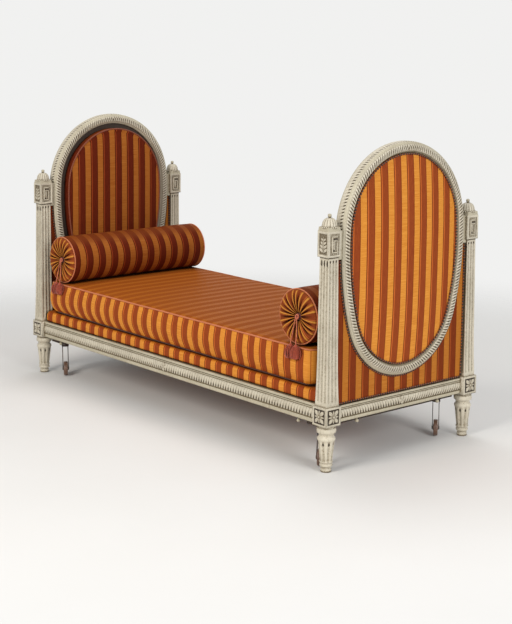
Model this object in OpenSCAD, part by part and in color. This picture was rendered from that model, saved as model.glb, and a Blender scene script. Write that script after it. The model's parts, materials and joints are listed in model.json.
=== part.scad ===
// A painted neoclassical daybed: two equal ends with an upholstered oval in each,
// joined by two low rails, with a platform, a mattress, two bolsters and four casters.
// Millimetres. X runs along the length with the foot at +X, -Y is the front, +Z is up.
// The origin is on the floor, below the middle of the bed.

/* [Overall] */
// Length over the corner blocks
bed_length = 1998; // [1700:1:2300]
// Width over the corner blocks
bed_width = 822; // [700:1:1000]
// Height of the underside of the corner blocks above the floor
block_bottom = 175; // [150:1:210]

/* [Stiles] */
// Corner block along the length
block_x = 72; // [64:1:90]
// Corner block across the width
block_y = 74; // [66:1:90]
// Height of the corner block
block_h = 72; // [66:1:90]
// Width of the post below the upper block
post_top_w = 48; // [40:1:56]
// Width of the post half way down its flare
post_mid_w = 53; // [44:1:60]
// Width of the post at its base
post_base_w = 62; // [50:1:64]
// Height of the post from the corner block to the upper block
post_h = 550; // [480:1:640]
// Height of the flare at the foot of the post
flare_h = 240; // [120:1:300]
// Upper block along the length
upper_x = 58; // [54:1:70]
// Upper block across the width
upper_y = 62; // [56:1:72]
// Height of the upper block
upper_h = 94; // [80:1:110]
// Depth of the sunk panels in the blocks
panel_depth = 4; // [2:0.5:6]
// Width of the border round a sunk panel
panel_border = 8; // [5:0.5:12]

/* [Legs] */
// Radius of the collar under the corner block
collar_r = 36; // [32:0.5:40]
// Radius of the fluted part at its top
leg_top_r = 31; // [27:0.5:34]
// Radius of the fluted part at its bottom
leg_low_r = 22.5; // [18:0.5:26]
// Radius of the foot pad
foot_r = 20; // [16:0.5:24]
// Number of flutes round a leg
leg_flutes = 8; // [6:1:12]

/* [Finials] */
// Radius of the ribbed dome
dome_r = 27; // [20:0.5:28]
// Height of the sloped cap below the dome
cap_h = 15; // [10:1:22]
// Height of the dome
dome_h = 33; // [26:1:40]
// Height of the button on the dome
button_h = 14; // [8:1:18]
// Radius of the button on the dome
button_r = 7; // [4:0.5:9]

/* [Rails] */
// How far a rail's band lies behind the corner blocks
rail_set_back = 16; // [8:1:24]
// Thickness of the rails
rail_t = 36; // [30:1:45]
// How much an end rail stands back from the corner block's top and underside
end_rail_step = 5; // [2:0.5:8]
// Length of the tenons
tenon_l = 28; // [18:1:30]
// Thickness of the tenons
tenon_t = 12; // [8:1:14]
// Radius of the pegs that hold the tenons
peg_r = 4; // [3:0.5:5]

/* [Ovals] */
// Width of the ear between an upper block and the oval frame
ear_w = 16; // [8:1:24]
// How far the top arc's centre lies below the top of the upper blocks
oval_drop = 21; // [0:1:40]
// Height from the bottom arc's centre to the top arc's centre
oval_stretch = 262; // [230:1:290]
// How much smaller the opening's bottom arc is than its top arc
oval_taper = 30; // [10:1:45]
// Radius of the opening's long side arcs
oval_side_r = 1000; // [850:10:1300]
// Width of the oval frame's face
oval_w = 42; // [34:1:50]
// Thickness of the oval frame
oval_t = 54; // [44:1:58]

/* [End upholstery] */
// Thickness of the board that backs both pads
backing_t = 10; // [6:1:12]
// How far the backing board reaches into the oval frame
backing_lip = 6; // [4:1:10]
// Crown of the outer panel above its edge
outer_crown = 24; // [10:1:26]
// Height of the outer panel's edge above the board
outer_edge = 6; // [3:1:10]
// Depth of the inner pad's boxing
pad_depth = 39; // [25:1:42]
// Crown of the inner pad above its piping
pad_crown = 8; // [4:1:9]
// How far the inner pad's face is smaller than the opening
pad_inset = 18; // [12:1:26]
// Thickness of the spandrel panels
spandrel_t = 24; // [16:1:30]

/* [Seat] */
// Height of the slat bearers
bearer_h = 38; // [30:1:45]
// Thickness of the slat bearers
bearer_t = 30; // [22:1:36]
// Thickness of the slats
slat_t = 18; // [14:1:24]
// Width of a slat
slat_w = 64; // [50:1:80]
// Number of slats
slats = 11; // [8:1:13]
// Height of the platform's top above the side rails
platform_rise = 51; // [40:1:70]
// Height of the mattress at its piping
mattress_h = 140; // [110:1:180]
// Crown of the mattress above its piping
mattress_crown = 10; // [4:1:16]
// Gap between the mattress's end and the face of the inner pad
mattress_end_gap = 23; // [15:1:60]
// How far the mattress lies behind the corner blocks' faces
mattress_set_in = 26; // [20:1:60]
// How far the platform's cover lies behind the rails' bands
cover_set_in = 11; // [6:1:20]
// Radius of the piping cords
piping_r = 4; // [2.5:0.5:5]

/* [Bolsters] */
// Radius of a bolster
bolster_r = 107; // [90:1:110]
// How much shorter a bolster is at each end than the mattress is wide
bolster_set_in = 10; // [5:1:60]
// Gap between a bolster and the inner pad
bolster_gap = 2; // [1:0.5:20]
// Radius of the covered button on a bolster's end
end_button_r = 13; // [9:1:18]
// Length of a tassel
tassel_l = 52; // [40:1:60]
// Radius of a tassel's skirt
tassel_r = 12; // [8:0.5:12]

/* [Casters] */
// Radius of a caster wheel
wheel_r = 32; // [26:1:33]
// Width of a caster wheel
wheel_w = 20; // [14:1:24]
// Distance of a wheel's axle behind its swivel axis
trail = 40; // [25:1:42]
// Gap between the leg's axis and the wheel's widest swing, along the length
swing_gap = 16; // [12:1:30]
// Distance of the swivel axes behind the corner blocks' inner faces, across the width
caster_set_in = 22; // [15:1:40]
// Side of the square caster plate
plate_s = 56; // [48:1:64]
// Thickness of the boards that carry the casters
board_t = 24; // [18:1:30]

/* [Hidden] */

// Wood joints, soft seats and turning pins each have their own clearance.
fit_gap = 0.15;
soft_gap = 0.3;
run_gap = 0.05;
overrun = 1;

paint = [0.86, 0.83, 0.74];
raw_wood = [0.62, 0.46, 0.30];
rust = [0.62, 0.25, 0.11];
gold = [0.85, 0.52, 0.16];
cord_red = [0.62, 0.12, 0.05];
steel = [0.45, 0.44, 0.42];
rubber = [0.40, 0.30, 0.27];

stile_x = bed_length / 2 - block_x / 2;
stile_y = bed_width / 2 - block_y / 2;
block_top = block_bottom + block_h;
upper_z = block_top + post_h;
upper_top = upper_z + upper_h;

rail_face_y = bed_width / 2 - rail_set_back;
rail_face_x = bed_length / 2 - rail_set_back;
side_rail_h = block_h;
side_rail_z = block_bottom;
side_rail_top = side_rail_z + side_rail_h;
end_rail_h = block_h - 2 * end_rail_step;
end_rail_z = block_bottom + end_rail_step;
end_rail_top = end_rail_z + end_rail_h;
side_rail_l = bed_length - 2 * block_x;
end_rail_l = bed_width - 2 * block_y;

// Ends of the ovals: all lie in the middle plane of the stiles.
oval_x = stile_x;
oval_top_r = stile_y - upper_y / 2 - ear_w - oval_w;
oval_top_z = upper_top - oval_drop;
oval_bottom_r = oval_top_r - oval_taper;
oval_bottom_z = oval_top_z - oval_stretch;
side_run = oval_side_r - oval_top_r;
low_run = oval_side_r - oval_bottom_r;
side_rise = (low_run * low_run - side_run * side_run + oval_stretch * oval_stretch) / (2 * oval_stretch);
side_z = oval_bottom_z + side_rise;
side_d = sqrt(low_run * low_run - side_rise * side_rise);
top_turn = atan2(oval_top_z - side_z, side_d);
low_turn = atan2(oval_bottom_z - side_z, side_d);
oval_mid_z = (oval_top_z + oval_top_r + oval_bottom_z - oval_bottom_r) / 2;

// Half the opening's width at a height, with the opening grown by g.
function oval_half(z, g) =
    let (top_z = oval_top_z + (oval_top_r + g) * sin(top_turn),
         low_z = oval_bottom_z + (oval_bottom_r + g) * sin(low_turn))
    z > top_z ? sqrt(pow(oval_top_r + g, 2) - pow(z - oval_top_z, 2))
    : z < low_z ? sqrt(pow(oval_bottom_r + g, 2) - pow(z - oval_bottom_z, 2))
    : sqrt(pow(oval_side_r + g, 2) - pow(z - side_z, 2)) - side_d;

// Outline of the opening grown by g, as [y, z] points that run once round. Flat arcs get longer steps,
// so that the chords stay equally close to the curve. Cuts and boards take the fine step.
arc_step = 7.5;
fine_step = 2.5;
function arc_points(cy, cz, r, g, from, to, step) =
    let (count = ceil(abs(to - from) / (step * sqrt(oval_top_r / r))))
    [for (i = [0 : count - 1])
        let (a = from + (to - from) * i / count)
        [cy + (r + g) * cos(a), cz + (r + g) * sin(a)]];
function oval_points(g, step = arc_step) = concat(
    arc_points(0, oval_top_z, oval_top_r, g, top_turn, 180 - top_turn, step),
    arc_points(side_d, side_z, oval_side_r, g, 180 - top_turn, 180 - low_turn, step),
    arc_points(0, oval_bottom_z, oval_bottom_r, g, 180 - low_turn, 360 + low_turn, step),
    arc_points(-side_d, side_z, oval_side_r, g, low_turn, top_turn, step));

// A rounded rectangle of half sizes a and b, as points that run once round.
corner_steps = 5;
function rect_points(a, b, r) =
    [for (q = [0 : 3], i = [0 : corner_steps])
        let (t = 90 * (q + i / corner_steps),
             cx = (q == 0 || q == 3 ? 1 : -1) * (a - r),
             cy = (q < 2 ? 1 : -1) * (b - r))
        [cx + r * cos(t), cy + r * sin(t)]];

// A closed form through a list of rings of n points, with both ends drawn to a centre point.
module loft(rings, first, last) {
    n = len(rings[0]);
    m = len(rings);
    points = concat([first], [for (ring = rings) each ring], [last]);
    faces = concat(
        [for (i = [0 : n - 1]) [0, 1 + (i + 1) % n, 1 + i]],
        [for (k = [0 : m - 2], i = [0 : n - 1])
            [1 + k * n + i, 1 + k * n + (i + 1) % n, 1 + (k + 1) * n + i]],
        [for (k = [0 : m - 2], i = [0 : n - 1])
            [1 + k * n + (i + 1) % n, 1 + (k + 1) * n + (i + 1) % n, 1 + (k + 1) * n + i]],
        [for (i = [0 : n - 1]) [1 + m * n, 1 + (m - 1) * n + i, 1 + (m - 1) * n + (i + 1) % n]]);
    polyhedron(points, [for (f = faces) [f[0], f[2], f[1]]]);
}

// Puts a piece drawn for the foot end on the end that e names, 1 for the foot and -1 for the head.
module at_end(e) {
    mirror([e < 0 ? 1 : 0, 0, 0])
        children();
}

// Puts a piece drawn for the back on the side that s names, 1 for the back and -1 for the front.
module at_side(s) {
    mirror([0, s < 0 ? 1 : 0, 0])
        children();
}

module at_corner(e, s) {
    at_end(e) at_side(s) translate([stile_x, stile_y, 0]) children();
}

// Stands a flat shape drawn in [y, z] up in the plane across the bed, thickness growing along X.
module across(t) {
    rotate([90, 0, 90])
        linear_extrude(t)
            children();
}

// Rails and their tenons

rail_relief = 5;
// Each row is a share of the relief below the rail's face, and a share of its height.
rail_outline_shares = [
    [0.8, 0], [0.2, 0.03], [0, 0.07], [0, 0.17], [0.2, 0.21], [1, 0.23], [0.8, 0.30], [0.5, 0.38],
    [0.4, 0.50], [0.5, 0.62], [0.8, 0.70], [1, 0.77], [0.3, 0.78], [0.3, 0.83], [1, 0.84], [1, 0.87],
    [0, 0.88], [0, 0.98], [0.2, 1]];
tenon_h_share = 0.6;
side_tenon_h = side_rail_h * tenon_h_share;
end_tenon_h = end_rail_h * tenon_h_share;

module rail_outline(h) {
    polygon(concat([[0, 0]],
        [for (s = rail_outline_shares) [rail_t - s[0] * rail_relief, s[1] * h]],
        [[0, h]]));
}

module peg(l, r) {
    cylinder(h = l, r = r, $fn = 24);
}

// Pegs of one corner: two through the side rail's tenon and one through the end rail's.
side_peg_shares = [0.28, 0.72];
end_peg_share = 0.5;
peg_l_share = 0.72;
module corner_pegs(e, s, grow) {
    at_corner(e, s) {
        for (share = side_peg_shares)
            translate([-block_x / 2 + tenon_l / 2, -block_y / 2, side_rail_z + side_rail_h * share])
                rotate([-90, 0, 0]) peg(block_y * peg_l_share + grow, peg_r + grow);
        translate([-block_x / 2, -block_y / 2 + tenon_l / 2, end_rail_z + end_rail_h * end_peg_share])
            rotate([0, 90, 0]) peg(block_x * peg_l_share + grow, peg_r + grow);
    }
}

module tenon_pegs() {
    color(raw_wood)
        for (e = [-1, 1], s = [-1, 1])
            corner_pegs(e, s, 0);
}

module all_peg_holes() {
    for (e = [-1, 1], s = [-1, 1])
        corner_pegs(e, s, fit_gap);
}

module side_tenon(grow) {
    translate([-side_rail_l / 2 - tenon_l - grow, rail_face_y - rail_t / 2 - tenon_t / 2 - grow,
               side_rail_z + (side_rail_h - side_tenon_h) / 2 - grow])
        cube([side_rail_l + 2 * tenon_l + 2 * grow, tenon_t + 2 * grow, side_tenon_h + 2 * grow]);
}

module end_tenon(grow) {
    translate([rail_face_x - rail_t / 2 - tenon_t / 2 - grow, -end_rail_l / 2 - tenon_l - grow,
               end_rail_z + (end_rail_h - end_tenon_h) / 2 - grow])
        cube([tenon_t + 2 * grow, end_rail_l + 2 * tenon_l + 2 * grow, end_tenon_h + 2 * grow]);
}

module side_rail(s) {
    color(paint)
        difference() {
            at_side(s) {
                translate([-side_rail_l / 2, rail_face_y - rail_t, side_rail_z])
                    rotate([90, 0, 90])
                        linear_extrude(side_rail_l)
                            rail_outline(side_rail_h);
                side_tenon(0);
            }
            all_peg_holes();
        }
}

module end_rail(e) {
    color(paint)
        difference() {
            at_end(e) {
                translate([rail_face_x - rail_t, end_rail_l / 2, end_rail_z])
                    rotate([90, 0, 0])
                        linear_extrude(end_rail_l)
                            rail_outline(end_rail_h);
                end_tenon(0);
            }
            all_peg_holes();
            oval_room(e);
        }
}

// Stiles: leg, corner block, flared post and upper block in one piece of wood

leg_radii = [foot_r, leg_low_r, leg_top_r, collar_r];
// Each row is a share of the leg's height, which radius it follows, and a share of that radius.
leg_outline_shares = [
    [0, 0, 0.90], [0.012, 0, 1], [0.075, 0, 1], [0.088, 0, 0.90], [0.115, 0, 0.90],
    [0.125, 1, 1.04], [0.150, 1, 1.09], [0.175, 1, 1.04], [0.185, 1, 0.98], [0.205, 1, 0.98],
    [0.213, 1, 1.10], [0.225, 1, 1.14], [0.237, 1, 1.10], [0.245, 1, 1],
    [0.675, 2, 1], [0.69, 2, 1.06], [0.715, 2, 1.09], [0.745, 2, 1.05], [0.765, 2, 0.92],
    [0.80, 2, 0.88], [0.83, 2, 0.96], [0.84, 3, 0.90], [0.855, 3, 0.97], [0.88, 3, 1], [0.92, 3, 1],
    [0.95, 3, 0.96], [0.96, 3, 0.88], [1, 3, 0.88]];
leg_flute_low_share = 0.27;
leg_flute_high_share = 0.645;
leg_flute_r = leg_top_r * 0.26;
leg_flute_sink_share = 0.6;

module leg() {
    neck = leg_outline_shares[len(leg_outline_shares) - 1];
    difference() {
        rotate_extrude($fn = 48)
            polygon(concat([[0, 0]],
                [for (s = leg_outline_shares) [leg_radii[s[1]] * s[2], s[0] * block_bottom]],
                [[leg_radii[neck[1]] * neck[2], block_bottom + overrun], [0, block_bottom + overrun]]));
        for (i = [0 : leg_flutes - 1])
            rotate([0, 0, 360 * (i + 0.5) / leg_flutes])
                leg_flute();
    }
}

// One flute, parallel to the tapered side, with a round end at the top and the bottom.
module leg_flute() {
    low_z = leg_flute_low_share * block_bottom;
    high_z = leg_flute_high_share * block_bottom;
    reach = leg_flute_r * leg_flute_sink_share;
    lean = atan2(leg_top_r - leg_low_r, high_z - low_z);
    translate([leg_low_r + reach, 0, low_z])
        rotate([0, lean, 0]) {
            cylinder(h = (high_z - low_z) / cos(lean), r = leg_flute_r, $fn = 24);
            sphere(r = leg_flute_r, $fn = 24);
            translate([0, 0, (high_z - low_z) / cos(lean)])
                sphere(r = leg_flute_r, $fn = 24);
        }
}

// Outline of the post: it flares towards the corner block, and runs on into both blocks.
flare_steps = 5;
function post_half(t) = (post_mid_w + (post_base_w - post_mid_w) * pow(1 - t, 2)) / 2;
function post_side(k) = concat(
    [[k * post_base_w / 2, -overrun]],
    [for (i = [0 : flare_steps]) [k * post_half(i / flare_steps), flare_h * i / flare_steps]],
    [[k * post_top_w / 2, post_h], [k * post_top_w / 2, post_h + overrun]]);
function reversed(list) = [for (i = [len(list) - 1 : -1 : 0]) list[i]];

module post_outline() {
    polygon(concat(post_side(1), reversed(post_side(-1))));
}

module post() {
    intersection() {
        translate([0, post_base_w / 2, 0])
            rotate([90, 0, 0])
                linear_extrude(post_base_w)
                    post_outline();
        translate([-post_base_w / 2, 0, 0])
            across(post_base_w)
                post_outline();
    }
}

module sunk_panel(w, h) {
    cube([w - 2 * panel_border, 2 * panel_depth, h - 2 * panel_border], center = true);
}

// Each row is a share of the rosette's radius, and a share of the panel's depth.
rosette_outline_shares = [
    [0, 0.95], [0.18, 0.95], [0.3, 0.6], [0.42, 0.4], [0.6, 0.8], [0.82, 0.9], [1, 0.5]];
rosette_r = (min(block_x, block_y, block_h) / 2 - panel_border) * 0.85;

// Turned about Z, standing in a sunk panel whose floor is panel_depth below zero.
module rosette() {
    translate([0, 0, -panel_depth])
        rotate_extrude($fn = 48)
            polygon(concat([[0, -panel_depth]],
                [for (s = rosette_outline_shares) [s[0] * rosette_r, s[1] * panel_depth]],
                [[rosette_r, -panel_depth]]));
}

module corner_block() {
    difference() {
        translate([-block_x / 2, -block_y / 2, block_bottom])
            cube([block_x, block_y, block_h]);
        translate([0, block_y / 2, block_bottom + block_h / 2])
            sunk_panel(block_x, block_h);
        translate([block_x / 2, 0, block_bottom + block_h / 2])
            rotate([0, 0, 90]) sunk_panel(block_y, block_h);
    }
    translate([0, block_y / 2, block_bottom + block_h / 2])
        rotate([-90, 0, 0]) rosette();
    translate([block_x / 2, 0, block_bottom + block_h / 2])
        rotate([0, 90, 0]) rosette();
}

module upper_block() {
    difference() {
        translate([-upper_x / 2, -upper_y / 2, upper_z])
            cube([upper_x, upper_y, upper_h]);
        translate([0, upper_y / 2, upper_z + upper_h / 2])
            sunk_panel(upper_x, upper_h);
        for (k = [-1, 1])
            translate([k * upper_x / 2, 0, upper_z + upper_h / 2])
                rotate([0, 0, 90]) sunk_panel(upper_y, upper_h);
    }
    // The raised tongue of the key pattern in the middle of the two sunk faces.
    for (k = [-1, 1])
        translate([k * (upper_x / 2 - panel_depth), 0, upper_z + upper_h / 2])
            cube([2 * panel_depth, upper_y - 4 * panel_border, upper_h - 4 * panel_border], center = true);
}

dowel_r = button_r * 0.85;
dowel_l = cap_h * 1.4;
module top_dowel(grow) {
    translate([0, 0, upper_top - dowel_l - grow])
        cylinder(h = dowel_l + grow + overrun, r = dowel_r + grow, $fn = 24);
}

module stile(e, s) {
    color(paint)
        difference() {
            at_corner(e, s) {
                leg();
                corner_block();
                translate([0, 0, block_top]) post();
                upper_block();
            }
            at_side(s) side_tenon(fit_gap);
            at_end(e) end_tenon(fit_gap);
            corner_pegs(e, s, fit_gap);
            at_corner(e, s) top_dowel(fit_gap);
        }
}

// Finials

cap_steps = 4;
function cap_side(k, w) =
    let (step_in = w / 2 - dome_r - soft_gap)
    [for (i = [0 : cap_steps])
        let (a = 90 * i / cap_steps)
        [k * (w / 2 - step_in * sin(a)), cap_h * (1 - cos(a))]];

module cap_outline(w) {
    polygon(concat(cap_side(1, w), reversed(cap_side(-1, w))));
}

dome_steps = 8;
dome_arc = 75;
function dome_side() =
    [for (i = [0 : dome_steps])
        let (a = dome_arc * i / dome_steps)
        [dome_r * cos(a), dome_h * sin(a) / sin(dome_arc)]];
// Each row is a share of the button's radius, and a share of its height.
button_outline_shares = [[0.6, 0], [1, 0.35], [1, 0.8], [0.6, 1]];

module finial(e, s) {
    color(paint)
        at_corner(e, s) {
            translate([0, 0, upper_top]) {
                intersection() {
                    translate([0, upper_y / 2, 0])
                        rotate([90, 0, 0]) linear_extrude(upper_y) cap_outline(upper_x);
                    translate([-upper_x / 2, 0, 0])
                        across(upper_x) cap_outline(upper_y);
                }
                translate([0, 0, cap_h])
                    rotate_extrude($fn = 48)
                        polygon(concat([[0, -overrun], [dome_r, -overrun]], dome_side(),
                            [for (s = button_outline_shares) [s[0] * button_r, dome_h + s[1] * button_h]],
                            [[0, dome_h + button_h]]));
            }
            top_dowel(0);
        }
}

// Oval frames: tangent arcs of one moulded section

// Each row is a share of the frame's width from the opening, and a share of half its thickness.
oval_outline_shares = [
    [0, 0.60], [0.04, 0.72], [0.12, 0.80], [0.16, 0.86], [0.20, 0.98],
    [0.30, 1], [0.70, 1], [0.80, 0.95], [0.94, 0.80], [1, 0.66]];

module oval_section() {
    lip = backing_lip + fit_gap;
    gap = backing_t / 2 + fit_gap;
    face = [for (s = oval_outline_shares) [s[0] * oval_w, s[1] * oval_t / 2]];
    polygon(concat(face, reversed([for (p = face) [p[0], -p[1]]]),
        [[0, -gap], [lip, -gap], [lip, gap], [0, gap]]));
}

// One segment of the frame, shorter at each end by half the glue line.
module oval_arc(cy, cz, r, from, to) {
    glue = atan2(fit_gap / 2, r);
    rotate([90, 0, 90])
        translate([cy, cz, 0])
            rotate([0, 0, from + glue])
                rotate_extrude(angle = to - from - 2 * glue, $fn = 96)
                    translate([r, 0]) children();
}

// Room for the oval frame: the end rail and the platform are let in round it where it reaches them.
module oval_room(e) {
    at_end(e)
        translate([oval_x - oval_t / 2 - soft_gap, 0, 0])
            across(oval_t + 2 * soft_gap) polygon(oval_points(oval_w + soft_gap, fine_step));
}

module oval_upper(e) {
    color(paint)
        at_end(e) translate([oval_x, 0, 0])
            oval_arc(0, oval_top_z, oval_top_r, top_turn, 180 - top_turn) oval_section();
}

module oval_lower(e) {
    color(paint)
        at_end(e) translate([oval_x, 0, 0]) {
            oval_arc(side_d, side_z, oval_side_r, 180 - top_turn, 180 - low_turn) oval_section();
            oval_arc(0, oval_bottom_z, oval_bottom_r, 180 - low_turn, 360 + low_turn) oval_section();
            oval_arc(-side_d, side_z, oval_side_r, low_turn, top_turn) oval_section();
        }
}

// Ears: they fill the gap from each upper block to the oval, and each has a fillet below it.
ear_t = oval_t * 0.7;
ear_foot_h = 12;
ear_root = oval_half(upper_z, oval_w) - oval_w / 3;
ear_block_y = stile_y - upper_y / 2 - soft_gap;
ear_post_y = stile_y - post_top_w / 2 - 2 * soft_gap;

module ear_blocks() {
    color(paint)
        for (e = [-1, 1], s = [-1, 1])
            at_end(e) at_side(s)
                difference() {
                    translate([oval_x - ear_t / 2, ear_root, upper_z - ear_foot_h]) {
                        translate([0, 0, ear_foot_h])
                            cube([ear_t, ear_block_y - ear_root, upper_h]);
                        cube([ear_t, ear_post_y - ear_root, ear_foot_h - soft_gap]);
                        cube([ear_t, ear_block_y - ear_root, ear_foot_h]);
                    }
                    translate([oval_x - oval_t / 2, 0, 0])
                        across(oval_t) polygon(oval_points(oval_w + soft_gap, fine_step));
                }
}

// Upholstery of the ends

module backing_board(e) {
    color(raw_wood)
        at_end(e)
            translate([oval_x - backing_t / 2, 0, 0])
                across(backing_t) polygon(oval_points(backing_lip, fine_step));
}

// Rings of a crowned face that shrink to the oval's middle, with the crown growing along X.
crown_steps = 5;
function to_middle(p, k) = [p[0] * k, oval_mid_z + (p[1] - oval_mid_z) * k];
function crowned(g, x, crown) =
    [for (i = [0 : crown_steps - 1])
        let (k = cos(90 * i / crown_steps))
        [for (p = oval_points(g)) let (q = to_middle(p, k)) [x + crown * (1 - k * k), q[0], q[1]]]];

edge_gap = 1;
module outer_panel(e) {
    base_x = oval_x + backing_t / 2;
    edge_x = base_x + outer_edge;
    color(gold)
        at_end(e)
            loft(concat([[for (p = oval_points(-edge_gap)) [base_x, p[0], p[1]]]],
                        crowned(-edge_gap, edge_x, outer_crown)),
                 [base_x, 0, oval_mid_z], [edge_x + outer_crown, 0, oval_mid_z]);
}

// The inner pad is boxed: it narrows towards a piped face, with a rebate for the piping.
notch = piping_r + soft_gap;
pad_base_x = oval_x - backing_t / 2;
pad_face_x = pad_base_x - pad_depth;
pad_tip_x = pad_face_x - pad_crown;
pad_swell_share = 0.45;
pad_swell_in = pad_inset * 0.1;
module inner_pad(e) {
    ring_at = function (g, x) [for (p = reversed(oval_points(g))) [x, p[0], p[1]]];
    color(gold)
        at_end(e)
            loft(concat([ring_at(-edge_gap, pad_base_x),
                         ring_at(-edge_gap - pad_swell_in, pad_base_x - pad_depth * pad_swell_share),
                         ring_at(-pad_inset + notch / 2, pad_face_x + notch),
                         ring_at(-pad_inset - notch, pad_face_x + notch)],
                        [for (ring = crowned(-pad_inset - notch, pad_face_x, -pad_crown)) reversed(ring)]),
                 [pad_base_x, 0, oval_mid_z], [pad_tip_x, 0, oval_mid_z]);
}

// The pad's piping is one closed tube round the pad's outline.
tube_sides = 8;
function tube_ring(p, n, r) =
    [for (k = [0 : tube_sides - 1])
        let (t = 360 * (k + 0.5) / tube_sides)
        [r * sin(t), p[0] + r * cos(t) * n[0], p[1] + r * cos(t) * n[1]]];

module tube_loop(route, r) {
    n = len(route);
    rings = [for (i = [0 : n - 1])
        let (way = route[(i + 1) % n] - route[(i + n - 1) % n])
        tube_ring(route[i], [way[1], -way[0]] / norm(way), r)];
    corner = function (i, k) (i % n) * tube_sides + k % tube_sides;
    polyhedron([for (ring = rings) each ring],
        [for (i = [0 : n - 1], k = [0 : tube_sides - 1], half = [0, 1])
            half == 0 ? [corner(i, k), corner(i, k + 1), corner(i + 1, k + 1)]
            : [corner(i, k), corner(i + 1, k + 1), corner(i + 1, k)]]);
}

module pad_piping() {
    color(rust)
        for (e = [-1, 1])
            at_end(e)
                translate([pad_face_x, 0, 0])
                    tube_loop(oval_points(-pad_inset), piping_r);
}

module piping_section() {
    circle(r = piping_r, $fn = 16);
}

// The fabric between the posts, the end rail and the oval
module spandrel(e) {
    low = end_rail_top + soft_gap;
    high = upper_z - ear_foot_h - soft_gap;
    color(gold)
        at_end(e)
            translate([oval_x - spandrel_t / 2, 0, 0])
                difference() {
                    across(spandrel_t)
                        polygon(concat(spandrel_side(low, high),
                            reversed([for (p = spandrel_side(low, high)) [-p[0], p[1]]])));
                    translate([-overrun, 0, 0])
                        across(spandrel_t + 2 * overrun) polygon(oval_points(oval_w + soft_gap, fine_step));
                }
}

// The post's inner side, with the corner block's below it, from one height to another.
function spandrel_side(low, high) = concat(
    [[stile_y - block_y / 2 - soft_gap, low], [stile_y - block_y / 2 - soft_gap, block_top + soft_gap]],
    [for (i = [0 : flare_steps])
        [stile_y - post_half(i / flare_steps) - soft_gap, block_top + soft_gap + flare_h * i / flare_steps]],
    [[ear_post_y, high]]);

// Seat

mattress_l = 2 * (pad_tip_x - mattress_end_gap);
mattress_w = bed_width - 2 * mattress_set_in;
bearer_top = block_bottom + bearer_h;
bearer_l = side_rail_l - 4 * fit_gap;
module slat_bearers() {
    color(raw_wood)
        for (s = [-1, 1])
            at_side(s)
                translate([-bearer_l / 2, rail_face_y - rail_t - bearer_t, block_bottom])
                    cube([bearer_l, bearer_t, bearer_h]);
}

slat_l = 2 * (rail_face_y - rail_t) - 8 * fit_gap;
slat_run = side_rail_l - 2 * slat_w;
module slats() {
    color(raw_wood)
        for (i = [0 : slats - 1])
            translate([-slat_run / 2 + slat_run * i / (slats - 1) - slat_w / 2, -slat_l / 2, bearer_top])
                cube([slat_w, slat_l, slat_t]);
}

platform_z = bearer_top + slat_t;
platform_top = side_rail_top + platform_rise;
cover_wall = bearer_t / 6;
cover_lift = side_rail_top + soft_gap;
cover_h = platform_top - cover_lift;
well_x = side_rail_l / 2 - cover_wall;
well_y = rail_face_y - rail_t - cover_wall / 2;
cover_y = rail_face_y - cover_set_in;
cover_post_x = stile_x - post_base_w / 2 - 4 * soft_gap;
cover_post_y = stile_y - post_base_w / 2 - 4 * soft_gap;
cover_end_x = oval_x - spandrel_t / 2 - 2 * soft_gap;
edge_round = platform_rise * 0.25;
edge_steps = 4;

// Section of the cover above the rails, of half width w, with its top edges rounded.
function edge_side(w) =
    [for (i = [0 : edge_steps])
        let (a = 90 * i / edge_steps)
        [w - edge_round * (1 - cos(a)), cover_h - edge_round * (1 - sin(a))]];
module soft_edge(w) {
    polygon(concat([[-w, 0], [w, 0]], edge_side(w), reversed([for (p = edge_side(w)) [-p[0], p[1]]])));
}

// A slab with rounded top edges on all four sides.
module soft_slab(a, b) {
    translate([0, 0, cover_lift])
        intersection() {
            translate([0, b, 0])
                rotate([90, 0, 0]) linear_extrude(2 * b) soft_edge(a);
            translate([-a, 0, 0])
                across(2 * a) soft_edge(b);
        }
}

module platform_cover() {
    color(gold)
        difference() {
            union() {
                translate([-well_x, -well_y, platform_z])
                    cube([2 * well_x, 2 * well_y, cover_lift - platform_z + overrun]);
                soft_slab(cover_post_x, cover_y);
                soft_slab(cover_end_x, cover_post_y);
            }
            translate([-well_x + cover_wall, -well_y + cover_wall, platform_z - overrun])
                cube([2 * (well_x - cover_wall), 2 * (well_y - cover_wall),
                      platform_top - cover_wall - platform_z + overrun]);
            for (e = [-1, 1])
                oval_room(e);
        }
}

frame_board = bearer_t * 0.7;
frame_x = well_x - cover_wall - soft_gap;
frame_y = well_y - cover_wall - soft_gap;
frame_h = platform_top - cover_wall - platform_z - soft_gap;
frame_bays = 3;
bay_l = (2 * frame_x - (frame_bays + 1) * frame_board) / frame_bays;
bay_w = 2 * (frame_y - frame_board);

// One block for each bay of the platform's frame, smaller than the bay by g all round.
module bays(g, low, h) {
    for (i = [0 : frame_bays - 1])
        translate([-frame_x + frame_board + i * (bay_l + frame_board) + g, -bay_w / 2 + g, platform_z + low])
            cube([bay_l - 2 * g, bay_w - 2 * g, h]);
}

module platform_frame() {
    color(raw_wood)
        difference() {
            translate([-frame_x, -frame_y, platform_z])
                cube([2 * frame_x, 2 * frame_y, frame_h]);
            bays(0, -overrun, frame_h + 2 * overrun);
        }
}

module platform_stuffing() {
    color(rust)
        bays(soft_gap, 0, frame_h);
}

// Mattress: boxed, piped top and bottom, crowned on top

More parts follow.
